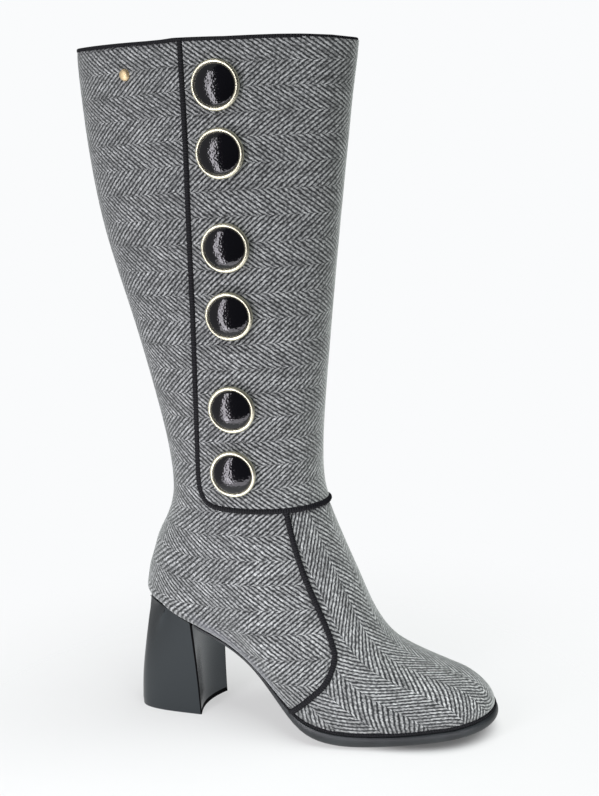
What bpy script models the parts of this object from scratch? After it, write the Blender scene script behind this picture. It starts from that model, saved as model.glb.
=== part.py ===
"""Tall right boot on a flared block heel, with a buttoned wrap panel on its shaft and piped seams.

Frame: metres, +Z up, +X to the toe, -Y to the outer side. The origin is on the floor under the heel.
Sizes below are in millimetres and MM turns them into metres.
"""

import math
from bisect import bisect_right
from collections import namedtuple

import bmesh
import bpy
from mathutils import Vector

MM = 0.001

# Driving sizes
WALL = 2.0
GAP = 0.3
COLUMNS = 42
ROWS_PER_SECTION = 2

PANEL_THICKNESS = 1.2
PIPING_HEIGHT = 2.1
PIPING_WIDTH = 3.6
BINDING_DROP = 1.9
BINDING_RISE = 1.1
BINDING_THICKNESS = 1.2

SOLE_THICKNESS = 7.2
WAIST_THICKNESS = 3.2
WAIST_END_X = 84.0
FOREFOOT_START_X = 116.0
SOLE_LEDGE = 2.8
INSOLE_THICKNESS = 2.4
INSOLE_CLEARANCE = 0.5

LIFT_HEIGHT = 4.5
BREAST_X = 26.2

BUTTON_RADIUS = 15.0
BUTTON_RIM_HEIGHT = 3.4
BUTTON_RIM_WIDTH = 1.7
BUTTON_FLOOR = 1.6
DOME_WALL = 1.0
DOME_RISE = 3.8
STUD_RADIUS = 3.6
STUD_HEIGHT = 2.4
STUD_X = 23.0
STUD_Z = 425.0
TURN_STEPS = 15

# Power of the shaft's oval sections: 1 is an ellipse, less is fuller at shin and calf
OVAL_POWER = 0.9

# Upper: one row for each section from the collar down to the feather edge, where it meets the sole.
# half is the half width at the widest place. outline and drop are the shares of the sole's plan and of
# its side profile in the section, and arch lifts the middle of the section.
Section = namedtuple("Section", "name back_x back_z front_x front_z half outline drop arch")
UPPER_SECTIONS = (
    Section("collar", -23.0, 441.3, 156.5, 434.8, 34.0, 0.0, 0.0, 4.0),
    Section("calf_high", -22.0, 388.0, 147.5, 383.0, 36.0, 0.0, 0.0, 1.0),
    Section("calf", -16.0, 332.0, 137.7, 329.0, 38.0, 0.0, 0.0, 0.0),
    Section("calf_low", -2.3, 277.0, 128.6, 274.0, 37.0, 0.0, 0.0, 0.0),
    Section("shin", 9.2, 222.0, 120.0, 220.0, 35.5, 0.0, 0.0, 0.0),
    Section("ankle_high", 14.6, 187.0, 115.6, 184.0, 35.0, 0.0, 0.0, 0.0),
    Section("ankle", 14.8, 163.0, 115.2, 161.0, 35.0, 0.0, 0.0, 0.0),
    Section("throat", 11.5, 150.0, 119.2, 146.0, 35.0, 0.0, 0.0, 0.0),
    Section("instep_high", 6.0, 139.0, 127.6, 122.0, 35.5, 0.05, 0.05, 0.0),
    Section("instep", -0.4, 129.0, 136.8, 98.0, 36.0, 0.12, 0.12, 0.0),
    Section("instep_low", -3.6, 121.0, 145.6, 74.5, 37.0, 0.22, 0.28, 0.0),
    Section("vamp", -6.0, 113.0, 160.0, 54.8, 38.0, 0.38, 0.5, 0.0),
    Section("vamp_low", -8.8, 105.0, 187.0, 43.0, 39.5, 0.5, 0.7, 0.0),
    Section("toe_top", -11.3, 98.0, 208.5, 35.5, 40.5, 0.6, 0.85, 0.0),
    Section("wall", -13.0, 92.5, 219.0, 22.0, 41.0, 0.72, 0.97, 0.0),
    Section("feather", -12.0, 88.2, 218.5, 12.5, 38.5, 1.0, 1.0, 0.0),
)
THROAT_ROW = 7
FEATHER_ROW = len(UPPER_SECTIONS) - 1

# Plan of the feather edge: middle is the shift of its centre line to the inner side.
Station = namedtuple("Station", "name x half middle")
SOLE_PLAN = (
    Station("heel_seat", 10.0, 24.0, 0.0),
    Station("breast", 28.0, 24.0, 0.0),
    Station("waist", 55.0, 20.5, -2.0),
    Station("shank", 80.0, 25.5, -3.5),
    Station("joint", 105.0, 35.5, -3.6),
    Station("ball", 140.0, 38.5, 0.5),
    Station("toe_joint", 165.0, 37.0, 2.5),
    Station("toe_shoulder", 190.0, 32.0, 4.0),
    Station("toe_corner", 207.0, 24.5, 4.4),
)

# Side profile of the feather edge: a straight heel seat, the arch, the flat tread and the toe spring.
Height = namedtuple("Height", "x z")
SOLE_PROFILE = (
    Height(-12.0, 88.2),
    Height(9.0, 78.2),
    Height(30.0, 68.2),
    Height(48.0, 58.7),
    Height(62.0, 49.3),
    Height(76.0, 38.5),
    Height(88.0, 27.2),
    Height(97.0, 18.6),
    Height(106.0, 12.6),
    Height(117.0, 9.2),
    Height(130.0, 7.4),
    Height(145.0, 7.0),
    Height(165.0, 7.0),
    Height(190.0, 8.2),
    Height(207.0, 10.2),
    Height(218.5, 12.5),
)

# Heel: share runs from the seat (0) to the lift (1). middle is the shift of the centre line to the inner
# side, square is the power of the rounded plan, and hollow is the depth of the concave breast.
HeelLevel = namedtuple("HeelLevel", "share back_x half middle square hollow")
HEEL_LEVELS = (
    HeelLevel(0.0, -11.8, 23.6, 0.0, 2.1, 0.0),
    HeelLevel(0.25, -15.5, 21.9, 0.6, 2.4, 2.2),
    HeelLevel(0.5, -20.0, 20.4, 1.2, 2.8, 3.2),
    HeelLevel(0.78, -25.0, 19.2, 2.0, 3.3, 3.8),
    HeelLevel(1.0, -26.8, 18.8, 2.5, 3.6, 4.0),
)
HEEL_FRONT_TAPER = 3.0
HEEL_SIDE_STEPS = 9
BREAST_STEPS = 3

# Seams in side view, by hand, from top to bottom.
SeamPoint = namedtuple("SeamPoint", "x z")
PANEL_EDGE = (
    SeamPoint(63.8, 440.0),
    SeamPoint(60.6, 370.0),
    SeamPoint(55.7, 290.0),
    SeamPoint(49.8, 220.0),
    SeamPoint(46.0, 178.0),
    SeamPoint(47.0, 166.0),
    SeamPoint(50.8, 160.0),
    SeamPoint(58.0, 157.2),
    SeamPoint(74.0, 155.5),
    SeamPoint(92.0, 155.0),
    SeamPoint(108.0, 153.4),
    SeamPoint(118.0, 150.8),
    SeamPoint(150.0, 146.0),
)
VAMP_SEAM = (
    SeamPoint(101.8, 151.4),
    SeamPoint(105.2, 134.4),
    SeamPoint(110.6, 115.4),
    SeamPoint(116.0, 99.4),
    SeamPoint(122.3, 82.4),
    SeamPoint(127.3, 67.5),
    SeamPoint(128.6, 57.0),
    SeamPoint(123.0, 44.0),
    SeamPoint(113.0, 34.0),
    SeamPoint(102.0, 24.5),
)
SEAM_STEPS = 3
SIDE_REACH = 90.0
COLLAR_STEPS = 8

# Rounded edge of the outsole from its top to its tread: inset from the widest place, and share of depth
SoleEdge = namedtuple("SoleEdge", "inset depth")
SOLE_EDGE = (
    SoleEdge(1.0, 0.0),
    SoleEdge(0.0, 0.22),
    SoleEdge(0.0, 0.55),
    SoleEdge(1.5, 0.82),
    SoleEdge(4.0, 1.0),
)

# Round top of a dome or stud: share of its radius, and share of its rise
DomePoint = namedtuple("DomePoint", "radius rise")
DOME_TOP = (
    DomePoint(0.8, 0.42),
    DomePoint(0.45, 0.82),
    DomePoint(0.0, 1.0),
)

ButtonPlace = namedtuple("ButtonPlace", "x z")
BUTTONS = (
    ButtonPlace(84.3, 415.3),
    ButtonPlace(84.1, 377.3),
    ButtonPlace(83.0, 322.7),
    ButtonPlace(80.0, 281.2),
    ButtonPlace(76.5, 223.0),
    ButtonPlace(73.1, 181.8),
)


def through(knots, values, at):
    """The value at a place on a smooth curve through the given knots."""
    last = len(knots) - 1
    i = min(max(bisect_right(knots, at) - 1, 0), last - 1)

    def slope(k):
        before = max(k - 1, 0)
        after = min(k + 1, last)
        return (values[after] - values[before]) / (knots[after] - knots[before])

    span = knots[i + 1] - knots[i]
    s = (at - knots[i]) / span
    start = values[i] + s * s * (3.0 - 2.0 * s) * (values[i + 1] - values[i])
    return start + span * s * (1.0 - s) * ((1.0 - s) * slope(i) - s * slope(i + 1))


def mix(start, end, share):
    return start + (end - start) * share


# The last: sections of the upper, and the plan and profile of the sole that they end on
FEATHER = UPPER_SECTIONS[FEATHER_ROW]
FOOT_LENGTH = FEATHER.front_x - FEATHER.back_x


def foot_share(x):
    return (x - FEATHER.back_x) / FOOT_LENGTH


def round_ends(share):
    """Half width of a circle-like plan of half width 1, at a share of its length."""
    return math.sqrt(4.0 * share * (1.0 - share))


PLAN_SHARES = [foot_share(station.x) for station in SOLE_PLAN]
PLAN_FULLNESS = [station.half / round_ends(share) for station, share in zip(SOLE_PLAN, PLAN_SHARES)]
PLAN_MIDDLES = [station.middle for station in SOLE_PLAN]


def plan_half(share):
    """Half width of the feather edge, with round ends at heel and toe."""
    inside = min(max(share, PLAN_SHARES[0]), PLAN_SHARES[-1])
    return through(PLAN_SHARES, PLAN_FULLNESS, inside) * round_ends(share)


def plan_middle(share):
    inside = min(max(share, PLAN_SHARES[0]), PLAN_SHARES[-1])
    return through(PLAN_SHARES, PLAN_MIDDLES, inside)


def sole_height(x):
    return through([h.x for h in SOLE_PROFILE], [h.z for h in SOLE_PROFILE], x)


def sole_drop(share):
    """How far the feather edge lies below the straight line from heel to toe."""
    line = mix(FEATHER.back_z, FEATHER.front_z, share)
    return sole_height(mix(FEATHER.back_x, FEATHER.front_x, share)) - line


def section_at(row):
    """The section at a row, read smoothly between the rows of the table."""
    numbers = range(len(UPPER_SECTIONS))
    columns = list(zip(*UPPER_SECTIONS))[1:]
    return Section("between", *(through(numbers, column, row) for column in columns))


def upper_point(section, turn):
    """A point of the upper's outer face. turn goes from the heel along the outer side, and back."""
    share = (1.0 - math.cos(turn)) / 2.0
    bow = math.sin(turn)
    plan = plan_half(share) / FEATHER.half
    width = section.half * mix(abs(bow) ** OVAL_POWER, plan, section.outline)
    x = mix(section.back_x, section.front_x, share)
    y = section.outline * plan_middle(share) - math.copysign(width, bow)
    z = mix(section.back_z, section.front_z, share)
    z += section.arch * bow * bow + section.drop * sole_drop(share)
    return Vector((x, y, z))


def column_turns():
    return [2.0 * math.pi * (k + 0.5) / COLUMNS for k in range(COLUMNS)]


def upper_frame(row, turn):
    """Point, outward normal and downward direction on the upper's outer face."""
    step = 0.02
    above = section_at(max(row - step, 0.0))
    below = section_at(min(row + step, FEATHER_ROW))
    here = section_at(row)
    down = (upper_point(below, turn) - upper_point(above, turn)).normalized()
    along = upper_point(here, turn + step) - upper_point(here, turn - step)
    return upper_point(here, turn), down.cross(along).normalized(), down


def upper_ring(row, offset):
    ring = []
    for turn in column_turns():
        point, normal, _ = upper_frame(row, turn)
        ring.append(point + normal * offset)
    return ring


def upper_rows():
    count = FEATHER_ROW * ROWS_PER_SECTION
    return [k / ROWS_PER_SECTION for k in range(count + 1)]


def outer_side(x, z):
    """Point and outward normal on the shaft's outer side, found by its place in side view."""
    low, high = 0.0, float(THROAT_ROW)
    for _ in range(30):
        row = (low + high) / 2.0
        section = section_at(row)
        share = (x - section.back_x) / (section.front_x - section.back_x)
        turn = math.acos(1.0 - 2.0 * share)
        if upper_point(section, turn).z > z:
            low = row
        else:
            high = row
    point, normal, _ = upper_frame(row, turn)
    return point, normal


# Meshes
def finish_mesh(name, bm, material):
    bmesh.ops.recalc_face_normals(bm, faces=bm.faces)
    mesh = bpy.data.meshes.new(name)
    bm.to_mesh(mesh)
    bm.free()
    mesh.materials.append(material)
    mesh.shade_smooth()
    mesh.set_sharp_from_angle(angle=math.radians(40.0))
    return mesh


def add_object(name, bm, material):
    piece = bpy.data.objects.new(name, finish_mesh(name, bm, material))
    bpy.context.collection.objects.link(piece)
    return piece


def ring_vertices(bm, ring):
    return [bm.verts.new(point * MM) for point in ring]


def join_rings(bm, first, second):
    count = len(first)
    for i in range(count):
        k = (i + 1) % count
        bm.faces.new((first[i], first[k], second[k], second[i]))


def fill_with_rungs(bm, ring):
    """Close a ring by strips across it. Point i lies opposite point n - 1 - i."""
    count = len(ring)
    for i in range(count // 2 - 1):
        bm.faces.new((ring[i], ring[i + 1], ring[count - 2 - i], ring[count - 1 - i]))


def fill_flat(bm, ring):
    bm.faces.new(ring)


def stack_rings(name, rings, material, fill=fill_with_rungs):
    """A solid with a skin over the rings and both ends filled."""
    bm = bmesh.new()
    loops = [ring_vertices(bm, ring) for ring in rings]
    for first, second in zip(loops, loops[1:]):
        join_rings(bm, first, second)
    fill(bm, loops[0])
    fill(bm, loops[-1])
    return add_object(name, bm, material)


def wrap_rings(name, rings, material):
    """A tube-like solid whose last ring joins its first."""
    bm = bmesh.new()
    loops = [ring_vertices(bm, ring) for ring in rings]
    for first, second in zip(loops, loops[1:] + loops[:1]):
        join_rings(bm, first, second)
    return add_object(name, bm, material)


def turned_mesh(name, profile, material):
    """A mesh turned about Z from a profile that starts and ends on the axis."""
    bm = bmesh.new()
    verts = [bm.verts.new((radius * MM, 0.0, height * MM)) for radius, height in profile]
    edges = [bm.edges.new(pair) for pair in zip(verts, verts[1:])]
    bmesh.ops.spin(
        bm,
        geom=verts + edges,
        axis=(0, 0, 1),
        cent=(0, 0, 0),
        angle=2.0 * math.pi,
        steps=TURN_STEPS,
        use_merge=True,
    )
    bmesh.ops.remove_doubles(bm, verts=bm.verts, dist=0.00001)
    return finish_mesh(name, bm, material)


def place_on_side(name, mesh, x, z, offset):
    """Stand a turned mesh on the outer side of the shaft, with its axis along the surface's normal."""
    point, normal = outer_side(x, z)
    piece = bpy.data.objects.new(name, mesh)
    piece.location = (point + normal * offset) * MM
    piece.rotation_mode = "QUATERNION"
    piece.rotation_quaternion = normal.to_track_quat("Z", "Y")
    bpy.context.collection.objects.link(piece)


def make_guide(piece):
    piece.hide_render = True
    piece.display_type = "WIRE"
    return piece


def cut(piece, tool, operation):
    modifier = piece.modifiers.new(tool.name, "BOOLEAN")
    modifier.operation = operation
    modifier.solver = "EXACT"
    modifier.object = tool


def make_material(name, colour, roughness, metallic=0.0):
    material = bpy.data.materials.new(name)
    material.use_nodes = True
    shader = material.node_tree.nodes["Principled BSDF"]
    shader.inputs["Base Color"].default_value = (*colour, 1.0)
    shader.inputs["Roughness"].default_value = roughness
    shader.inputs["Metallic"].default_value = metallic
    return material


# Upper
def build_upper(material):
    """Outer face from collar to feather edge, then the inner face back up."""
    rows = upper_rows()
    outer = [upper_ring(row, 0.0) for row in rows]
    inner = [upper_ring(row, -WALL) for row in rows]
    for inside, outside in zip(inner[-1], outer[-1]):
        inside.z = outside.z
    return wrap_rings("upper", outer + inner[::-1], material)


def build_form(name, offset, material):
    """A filled form of the upper, grown outward, that overlays are cut from."""
    rings = [upper_ring(row, offset) for row in upper_rows()]
    return make_guide(stack_rings(name, rings, material))


# Overlays
def binding_edge(x):
    """Height of the collar binding's lower edge in side view, at the middle of the wall."""
    collar = UPPER_SECTIONS[0]
    share = min(max((x - collar.back_x) / (collar.front_x - collar.back_x), 0.0), 1.0)
    height = mix(collar.back_z, collar.front_z, share) + collar.arch * 4.0 * share * (1.0 - share)
    return height - BINDING_DROP


def seam_path(points, top):
    """Smooth side-view path through the seam's points, starting at the given height."""
    first = SeamPoint(points[0].x, top)
    handles = (first,) + points[1:]
    numbers = range(len(handles))
    count = (len(handles) - 1) * SEAM_STEPS
    path = []
    for k in range(count + 1):
        at = k / SEAM_STEPS
        x = through(numbers, [p.x for p in handles], at)
        z = through(numbers, [p.z for p in handles], at)
        path.append(Vector((x, 0.0, z)))
    return path


def path_sides(path):
    """Unit vectors square to the path in side view, to its left as it runs."""
    sides = []
    for i in range(len(path)):
        run = path[min(i + 1, len(path) - 1)] - path[max(i - 1, 0)]
        sides.append(Vector((-run.z, 0.0, run.x)).normalized())
    return sides


def build_band(name, path, start_y, end_y, form, core, material):
    """A corded edge: a band along the path, kept between the core and the form around it."""
    half = PIPING_WIDTH / 2.0
    rings = []
    for point, side in zip(path, path_sides(path)):
        corners = ((-half, start_y), (half, start_y), (half, end_y), (-half, end_y))
        rings.append([point + side * across + Vector((0.0, y, 0.0)) for across, y in corners])
    band = stack_rings(name, rings, material)
    cut(band, form, "INTERSECT")
    cut(band, core, "DIFFERENCE")
    return band


def build_panel(path, form, core, material):
    """The wrap panel: all of the shaft in front of the corded edge, on both sides."""
    reach = PIPING_WIDTH / 2.0 + GAP
    front_x = PANEL_EDGE[-1].x + SIDE_REACH
    edge = [point + side * reach for point, side in zip(path, path_sides(path))]
    edge[0].z = binding_edge(edge[0].x) - GAP
    collar = UPPER_SECTIONS[0]
    top = []
    for k in range(1, COLLAR_STEPS + 1):
        x = mix(edge[0].x, collar.front_x, k / COLLAR_STEPS)
        top.append(Vector((x, 0.0, binding_edge(x) - GAP)))
    corner_top = Vector((front_x, 0.0, top[-1].z))
    corner_bottom = Vector((front_x, 0.0, edge[-1].z))
    outline = edge[::-1] + top + [corner_top, corner_bottom]
    rings = [[point + Vector((0.0, y, 0.0)) for point in outline] for y in (-SIDE_REACH, SIDE_REACH)]
    panel = stack_rings("button_panel", rings, material, fill=fill_flat)
    cut(panel, form, "INTERSECT")
    cut(panel, core, "DIFFERENCE")
    return panel


def build_binding(material):
    """A folded strip over the wall's top edge, with a slot for the wall."""
    outside = GAP + BINDING_THICKNESS
    inside = -WALL - GAP - BINDING_THICKNESS
    profile = (
        (GAP, -BINDING_DROP),
        (outside, -BINDING_DROP),
        (outside, BINDING_RISE),
        (inside, BINDING_RISE),
        (inside, -BINDING_DROP),
        (-WALL - GAP, -BINDING_DROP),
        (-WALL - GAP, GAP),
        (GAP, GAP),
    )
    frames = [upper_frame(0.0, turn) for turn in column_turns()]
    rings = []
    for offset, rise in profile:
        rings.append([point + normal * offset - down * rise for point, normal, down in frames])
    return wrap_rings("collar_binding", rings, material)


# Sole and insole
def feather_frames(turns):
    """Points of the feather edge and unit vectors square to it in plan, pointing out."""
    frames = []
    step = 0.01
    for turn in turns:
        before = upper_point(FEATHER, turn - step)
        after = upper_point(FEATHER, turn + step)
        run = after - before
        frames.append((upper_point(FEATHER, turn), Vector((run.y, -run.x, 0.0)).normalized()))
    return frames


def forefoot(x):
    """Smooth step from the waist (0) to the forefoot (1)."""
    share = min(max((x - WAIST_END_X) / (FOREFOOT_START_X - WAIST_END_X), 0.0), 1.0)
    return share * share * (3.0 - 2.0 * share)


def sole_thickness(x):
    return mix(WAIST_THICKNESS, SOLE_THICKNESS, forefoot(x))


def sole_ledge(x):
    return SOLE_LEDGE * forefoot(x)


def build_outsole(material):
    """Sole from the toe to the heel breast, with a rounded edge and a flat tread."""
    rear_x = BREAST_X + GAP
    rear_turn = math.acos(1.0 - 2.0 * foot_share(rear_x))
    turns = [turn for turn in column_turns() if rear_turn < turn < 2.0 * math.pi - rear_turn]
    frames = feather_frames(turns)
    outer_corner = (upper_point(FEATHER, rear_turn), Vector((0.0, -1.0, 0.0)))
    inner_corner = (upper_point(FEATHER, -rear_turn), Vector((0.0, 1.0, 0.0)))
    frames = [outer_corner] + frames + [inner_corner]
    rings = []
    for inset, depth in SOLE_EDGE:
        ring = []
        for point, outward in frames:
            top = sole_height(point.x) - GAP
            thickness = sole_thickness(point.x)
            bottom = max(top - thickness, 0.0)
            place = point + outward * (sole_ledge(point.x) - inset * thickness / SOLE_THICKNESS)
            place.z = mix(top, bottom, depth)
            ring.append(place)
        rings.append(ring)
    return stack_rings("outsole", rings, material)


def build_insole(material):
    """A board on the sole and the heel, just inside the wall."""
    rings = []
    for rise in (0.0, INSOLE_THICKNESS):
        ring = []
        for point, outward in feather_frames(column_turns()):
            place = point - outward * (WALL + INSOLE_CLEARANCE)
            place.z = sole_height(place.x) + rise
            ring.append(place)
        rings.append(ring)
    return stack_rings("insole", rings, material)


# Heel
def heel_plan(level):
    """Plan of the heel at a level: the breast's outer half, the round back and the mirrored inner half."""
    front_x = BREAST_X - HEEL_FRONT_TAPER * level.share
    outer = []
    for k in range(BREAST_STEPS):
        across = (k + 0.5) / BREAST_STEPS
        outer.append((front_x - level.hollow * (1.0 - across * across), -level.half * across))
    for k in range(HEEL_SIDE_STEPS):
        angle = math.pi / 2.0 * k / (HEEL_SIDE_STEPS - 0.5)
        power = 2.0 / level.square
        x = front_x - (front_x - level.back_x) * math.sin(angle) ** power
        outer.append((x, -level.half * math.cos(angle) ** power))
    inner = [(x, -y) for x, y in reversed(outer)]
    return [(x, y + level.middle) for x, y in outer + inner]


def build_heel(material):
    seat = heel_plan(HEEL_LEVELS[0])
    rings = []
    for level in HEEL_LEVELS:
        ring = []
        for (x, y), (seat_x, _) in zip(heel_plan(level), seat):
            z = mix(sole_height(seat_x) - GAP, LIFT_HEIGHT + GAP, level.share)
            ring.append(Vector((x, y, z)))
        rings.append(ring)
    return stack_rings("heel", rings, material, fill=fill_flat)


def build_lift(material):
    plan = heel_plan(HEEL_LEVELS[-1])
    rings = [[Vector((x, y, z)) for x, y in plan] for z in (LIFT_HEIGHT, 0.0)]
    return stack_rings("heel_lift", rings, material, fill=fill_flat)


# Buttons
def build_buttons(gilt, leather):
    """Six gilt cups with a rolled rim, each holding a leather dome."""
    lip = BUTTON_RADIUS - BUTTON_RIM_WIDTH
    roll = BUTTON_RIM_WIDTH / 2.0
    rim_profile = (
        (0.0, 0.0),
        (BUTTON_RADIUS - roll, 0.0),
        (BUTTON_RADIUS, BUTTON_FLOOR),
        (BUTTON_RADIUS, BUTTON_RIM_HEIGHT - roll),
        (BUTTON_RADIUS - roll, BUTTON_RIM_HEIGHT),
        (lip, BUTTON_RIM_HEIGHT - GAP),
        (lip, BUTTON_FLOOR),
        (0.0, BUTTON_FLOOR),
    )
    base = BUTTON_FLOOR + GAP
    edge = lip - GAP
    spring = base + DOME_WALL
    dome_top = [(edge * point.radius, spring + DOME_RISE * point.rise) for point in DOME_TOP]
    dome_profile = [(0.0, base), (edge, base), (edge, spring)] + dome_top
    rim_mesh = turned_mesh("button_rim", rim_profile, gilt)
    dome_mesh = turned_mesh("button_dome", dome_profile, leather)
    offset = GAP + PANEL_THICKNESS + GAP
    for number, place in enumerate(BUTTONS, start=1):
        place_on_side(f"button_rim_{number}", rim_mesh, place.x, place.z, offset)
        place_on_side(f"button_dome_{number}", dome_mesh, place.x, place.z, offset)


def build_stud(gilt):
    top = [(STUD_RADIUS * point.radius, STUD_HEIGHT * point.rise) for point in DOME_TOP]
    mesh = turned_mesh("side_stud", [(0.0, 0.0), (STUD_RADIUS, 0.0)] + top, gilt)
    place_on_side("side_stud", mesh, STUD_X, STUD_Z, GAP)


def build_boot():
    for piece in list(bpy.data.objects):
        bpy.data.objects.remove(piece, do_unlink=True)

    tweed = make_material("tweed", (0.25, 0.25, 0.25), 0.85)
    cord = make_material("cord", (0.01, 0.01, 0.012), 0.7)
    gilt = make_material("gilt", (0.80, 0.68, 0.42), 0.25, metallic=1.0)
    leather = make_material("leather", (0.01, 0.01, 0.012), 0.2)
    rubber = make_material("rubber", (0.03, 0.032, 0.035), 0.5)
    cover = make_material("heel_cover", (0.02, 0.022, 0.024), 0.4)
    board = make_material("insole_board", (0.02, 0.02, 0.02), 0.7)

    build_upper(tweed)
    core = build_form("form_core", GAP, tweed)
    panel_form = build_form("form_panel", GAP + PANEL_THICKNESS, tweed)
    cord_form = build_form("form_cord", GAP + PIPING_HEIGHT, cord)

    panel_path = seam_path(PANEL_EDGE, binding_edge(PANEL_EDGE[0].x) - GAP)
    build_panel(panel_path, panel_form, core, tweed)
    build_band("panel_piping", panel_path, -SIDE_REACH, SIDE_REACH, cord_form, core, cord)
    vamp_path = seam_path(VAMP_SEAM, VAMP_SEAM[0].z)
    build_band("vamp_piping_outer", vamp_path, -SIDE_REACH, -1.0, cord_form, core, cord)
    build_band("vamp_piping_inner", vamp_path, 1.0, SIDE_REACH, cord_form, core, cord)
    build_binding(cord)

    build_buttons(gilt, leather)
    build_stud(gilt)

    build_insole(board)
    build_outsole(rubber)
    build_heel(cover)
    build_lift(rubber)


build_boot()
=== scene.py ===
# A tall boot in black and white herringbone cloth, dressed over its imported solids.
# Metres, +Z up, toe to +X.
import math

import bpy
import numpy as np
from mathutils import Matrix, Vector
from mathutils.bvhtree import BVHTree


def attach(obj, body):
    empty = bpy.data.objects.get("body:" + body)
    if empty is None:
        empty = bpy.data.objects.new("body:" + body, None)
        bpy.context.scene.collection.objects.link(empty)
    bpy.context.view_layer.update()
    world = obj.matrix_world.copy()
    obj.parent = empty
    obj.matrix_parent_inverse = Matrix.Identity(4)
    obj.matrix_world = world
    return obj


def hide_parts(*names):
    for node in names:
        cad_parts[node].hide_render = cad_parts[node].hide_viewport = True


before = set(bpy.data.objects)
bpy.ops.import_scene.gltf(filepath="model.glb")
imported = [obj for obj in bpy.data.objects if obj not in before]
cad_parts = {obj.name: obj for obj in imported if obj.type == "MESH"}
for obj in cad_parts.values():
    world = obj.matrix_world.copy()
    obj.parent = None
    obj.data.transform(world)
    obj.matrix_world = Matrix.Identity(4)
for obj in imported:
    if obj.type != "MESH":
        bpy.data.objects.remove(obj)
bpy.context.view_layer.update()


# Studio
# The boot stands on a table of white opal acrylic under a soft white sky and a wide roof light. Two strip
# lights close to it give the gloss on the buttons, and the room on the toe's side is dark in reflections.
def linear(code):
    """Linear colour of an sRGB hex code."""
    shares = [int(code[k:k + 2], 16) / 255.0 for k in (0, 2, 4)]
    return tuple(s / 12.92 if s <= 0.04045 else ((s + 0.055) / 1.055) ** 2.4 for s in shares) + (1.0,)


def add_node(tree, kind, settings=None, inputs=None):
    """Adds a node with its settings, and feeds its inputs with values or with other nodes' sockets."""
    node = tree.nodes.new(kind)
    for name, value in (settings or {}).items():
        setattr(node, name, value)
    for key, value in (inputs or {}).items():
        if isinstance(value, bpy.types.NodeSocket):
            tree.links.new(value, node.inputs[key])
        else:
            node.inputs[key].default_value = value
    return node


def new_material(name):
    """A material with an empty node tree, and that tree."""
    material = bpy.data.materials.new(name)
    material.use_nodes = True
    material.node_tree.nodes.clear()
    return material, material.node_tree


CAMERA_PLACE = (0.4245, -0.7894, 0.440)
CAMERA_TURN = math.radians(22.0)
CAMERA_TILT = math.radians(14.5)
CAMERA_ROLL = math.radians(4.57)
FOCAL_PIXELS = 1400.0
IMAGE_HEIGHT = 796.0
SENSOR = 36.0

bpy.ops.object.select_all(action="DESELECT")
bpy.ops.object.camera_add(location=CAMERA_PLACE)
camera = bpy.context.object
camera.data.sensor_width = SENSOR
camera.data.lens = FOCAL_PIXELS / IMAGE_HEIGHT * SENSOR
turned = Matrix.Rotation(CAMERA_TURN, 4, "Z") @ Matrix.Rotation(math.pi / 2.0 - CAMERA_TILT, 4, "X")
camera.rotation_euler = (turned @ Matrix.Rotation(-CAMERA_ROLL, 4, "Z")).to_euler()
bpy.context.scene.camera = camera
bpy.context.scene.view_settings.view_transform = "Standard"

# Two bare strip lights show in the buttons: a post on the left of the table and a bar along its front edge.
# The roof light is kept out of reflections.
VIEW_AHEAD = Vector((-math.sin(CAMERA_TURN), math.cos(CAMERA_TURN), 0.0))
BUTTON_LINE = Vector((0.08, -0.04, 0.0))
BOOT_MIDDLE = Vector((0.08, 0.0, 0.22))
TABLE_FRONT = 0.16
LED_WHITE = (0.96, 0.93, 1.0)
DAY_WHITE = (0.97, 1.0, 0.99)
POST_ANGLE = math.radians(22.0)
POST_REACH = 0.40
POST_MIDDLE = Vector((0.0, 0.0, 0.3))
POST_SIZE = (0.075, 0.8)
POST_WATTS = 2.0
BAR_GAP = 0.03
BAR_AIM = Vector((0.0, 0.0, 0.2))
BAR_SIZE = (0.7, 0.11)
BAR_WATTS = 0.9
ROOF_PLACE = (3.0, -0.8, 6.5)
ROOF_SIZE = (6.0, 6.0)
ROOF_WATTS = 665.0


def flat_light(name, place, size, watts, target, colour):
    """A flat light of a width and a height, whose height runs as upright as its aim allows."""
    bpy.ops.object.light_add(type="AREA", location=place)
    light = bpy.context.object
    light.name = name
    light.data.shape = "RECTANGLE"
    light.data.size = size[0]
    light.data.size_y = size[1]
    light.data.energy = watts
    light.data.color = colour
    away = light.location - Vector(target)
    light.rotation_euler = away.to_track_quat("Z", "Y").to_euler()
    return light


post = BUTTON_LINE + POST_REACH * Vector((-math.sin(POST_ANGLE), -math.cos(POST_ANGLE), 0.0))
flat_light("post_light", post + POST_MIDDLE, POST_SIZE, POST_WATTS, BUTTON_LINE + POST_MIDDLE, LED_WHITE)
bar = BUTTON_LINE - (TABLE_FRONT + BAR_GAP) * VIEW_AHEAD
flat_light("bar_light", bar, BAR_SIZE, BAR_WATTS, BUTTON_LINE + BAR_AIM, LED_WHITE)
roof = flat_light("roof_light", ROOF_PLACE, ROOF_SIZE, ROOF_WATTS, BOOT_MIDDLE, DAY_WHITE)
roof.visible_glossy = False

# The sky is full white to the camera and dimmer as a light, most of all below the horizon.
BACKDROP_WHITE = "fafbfc"
DARK_ROOM = "050507"
DARK_TURN = POST_ANGLE - 0.1
DARK_SIDE = Vector((math.cos(DARK_TURN), -math.sin(DARK_TURN), 0.0))
DARK_EDGE = 0.04
SKY_STRENGTH = 0.365
GROUND_SHARE = 0.25
HORIZON_LOW = -0.2
HORIZON_HIGH = 0.1

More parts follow.
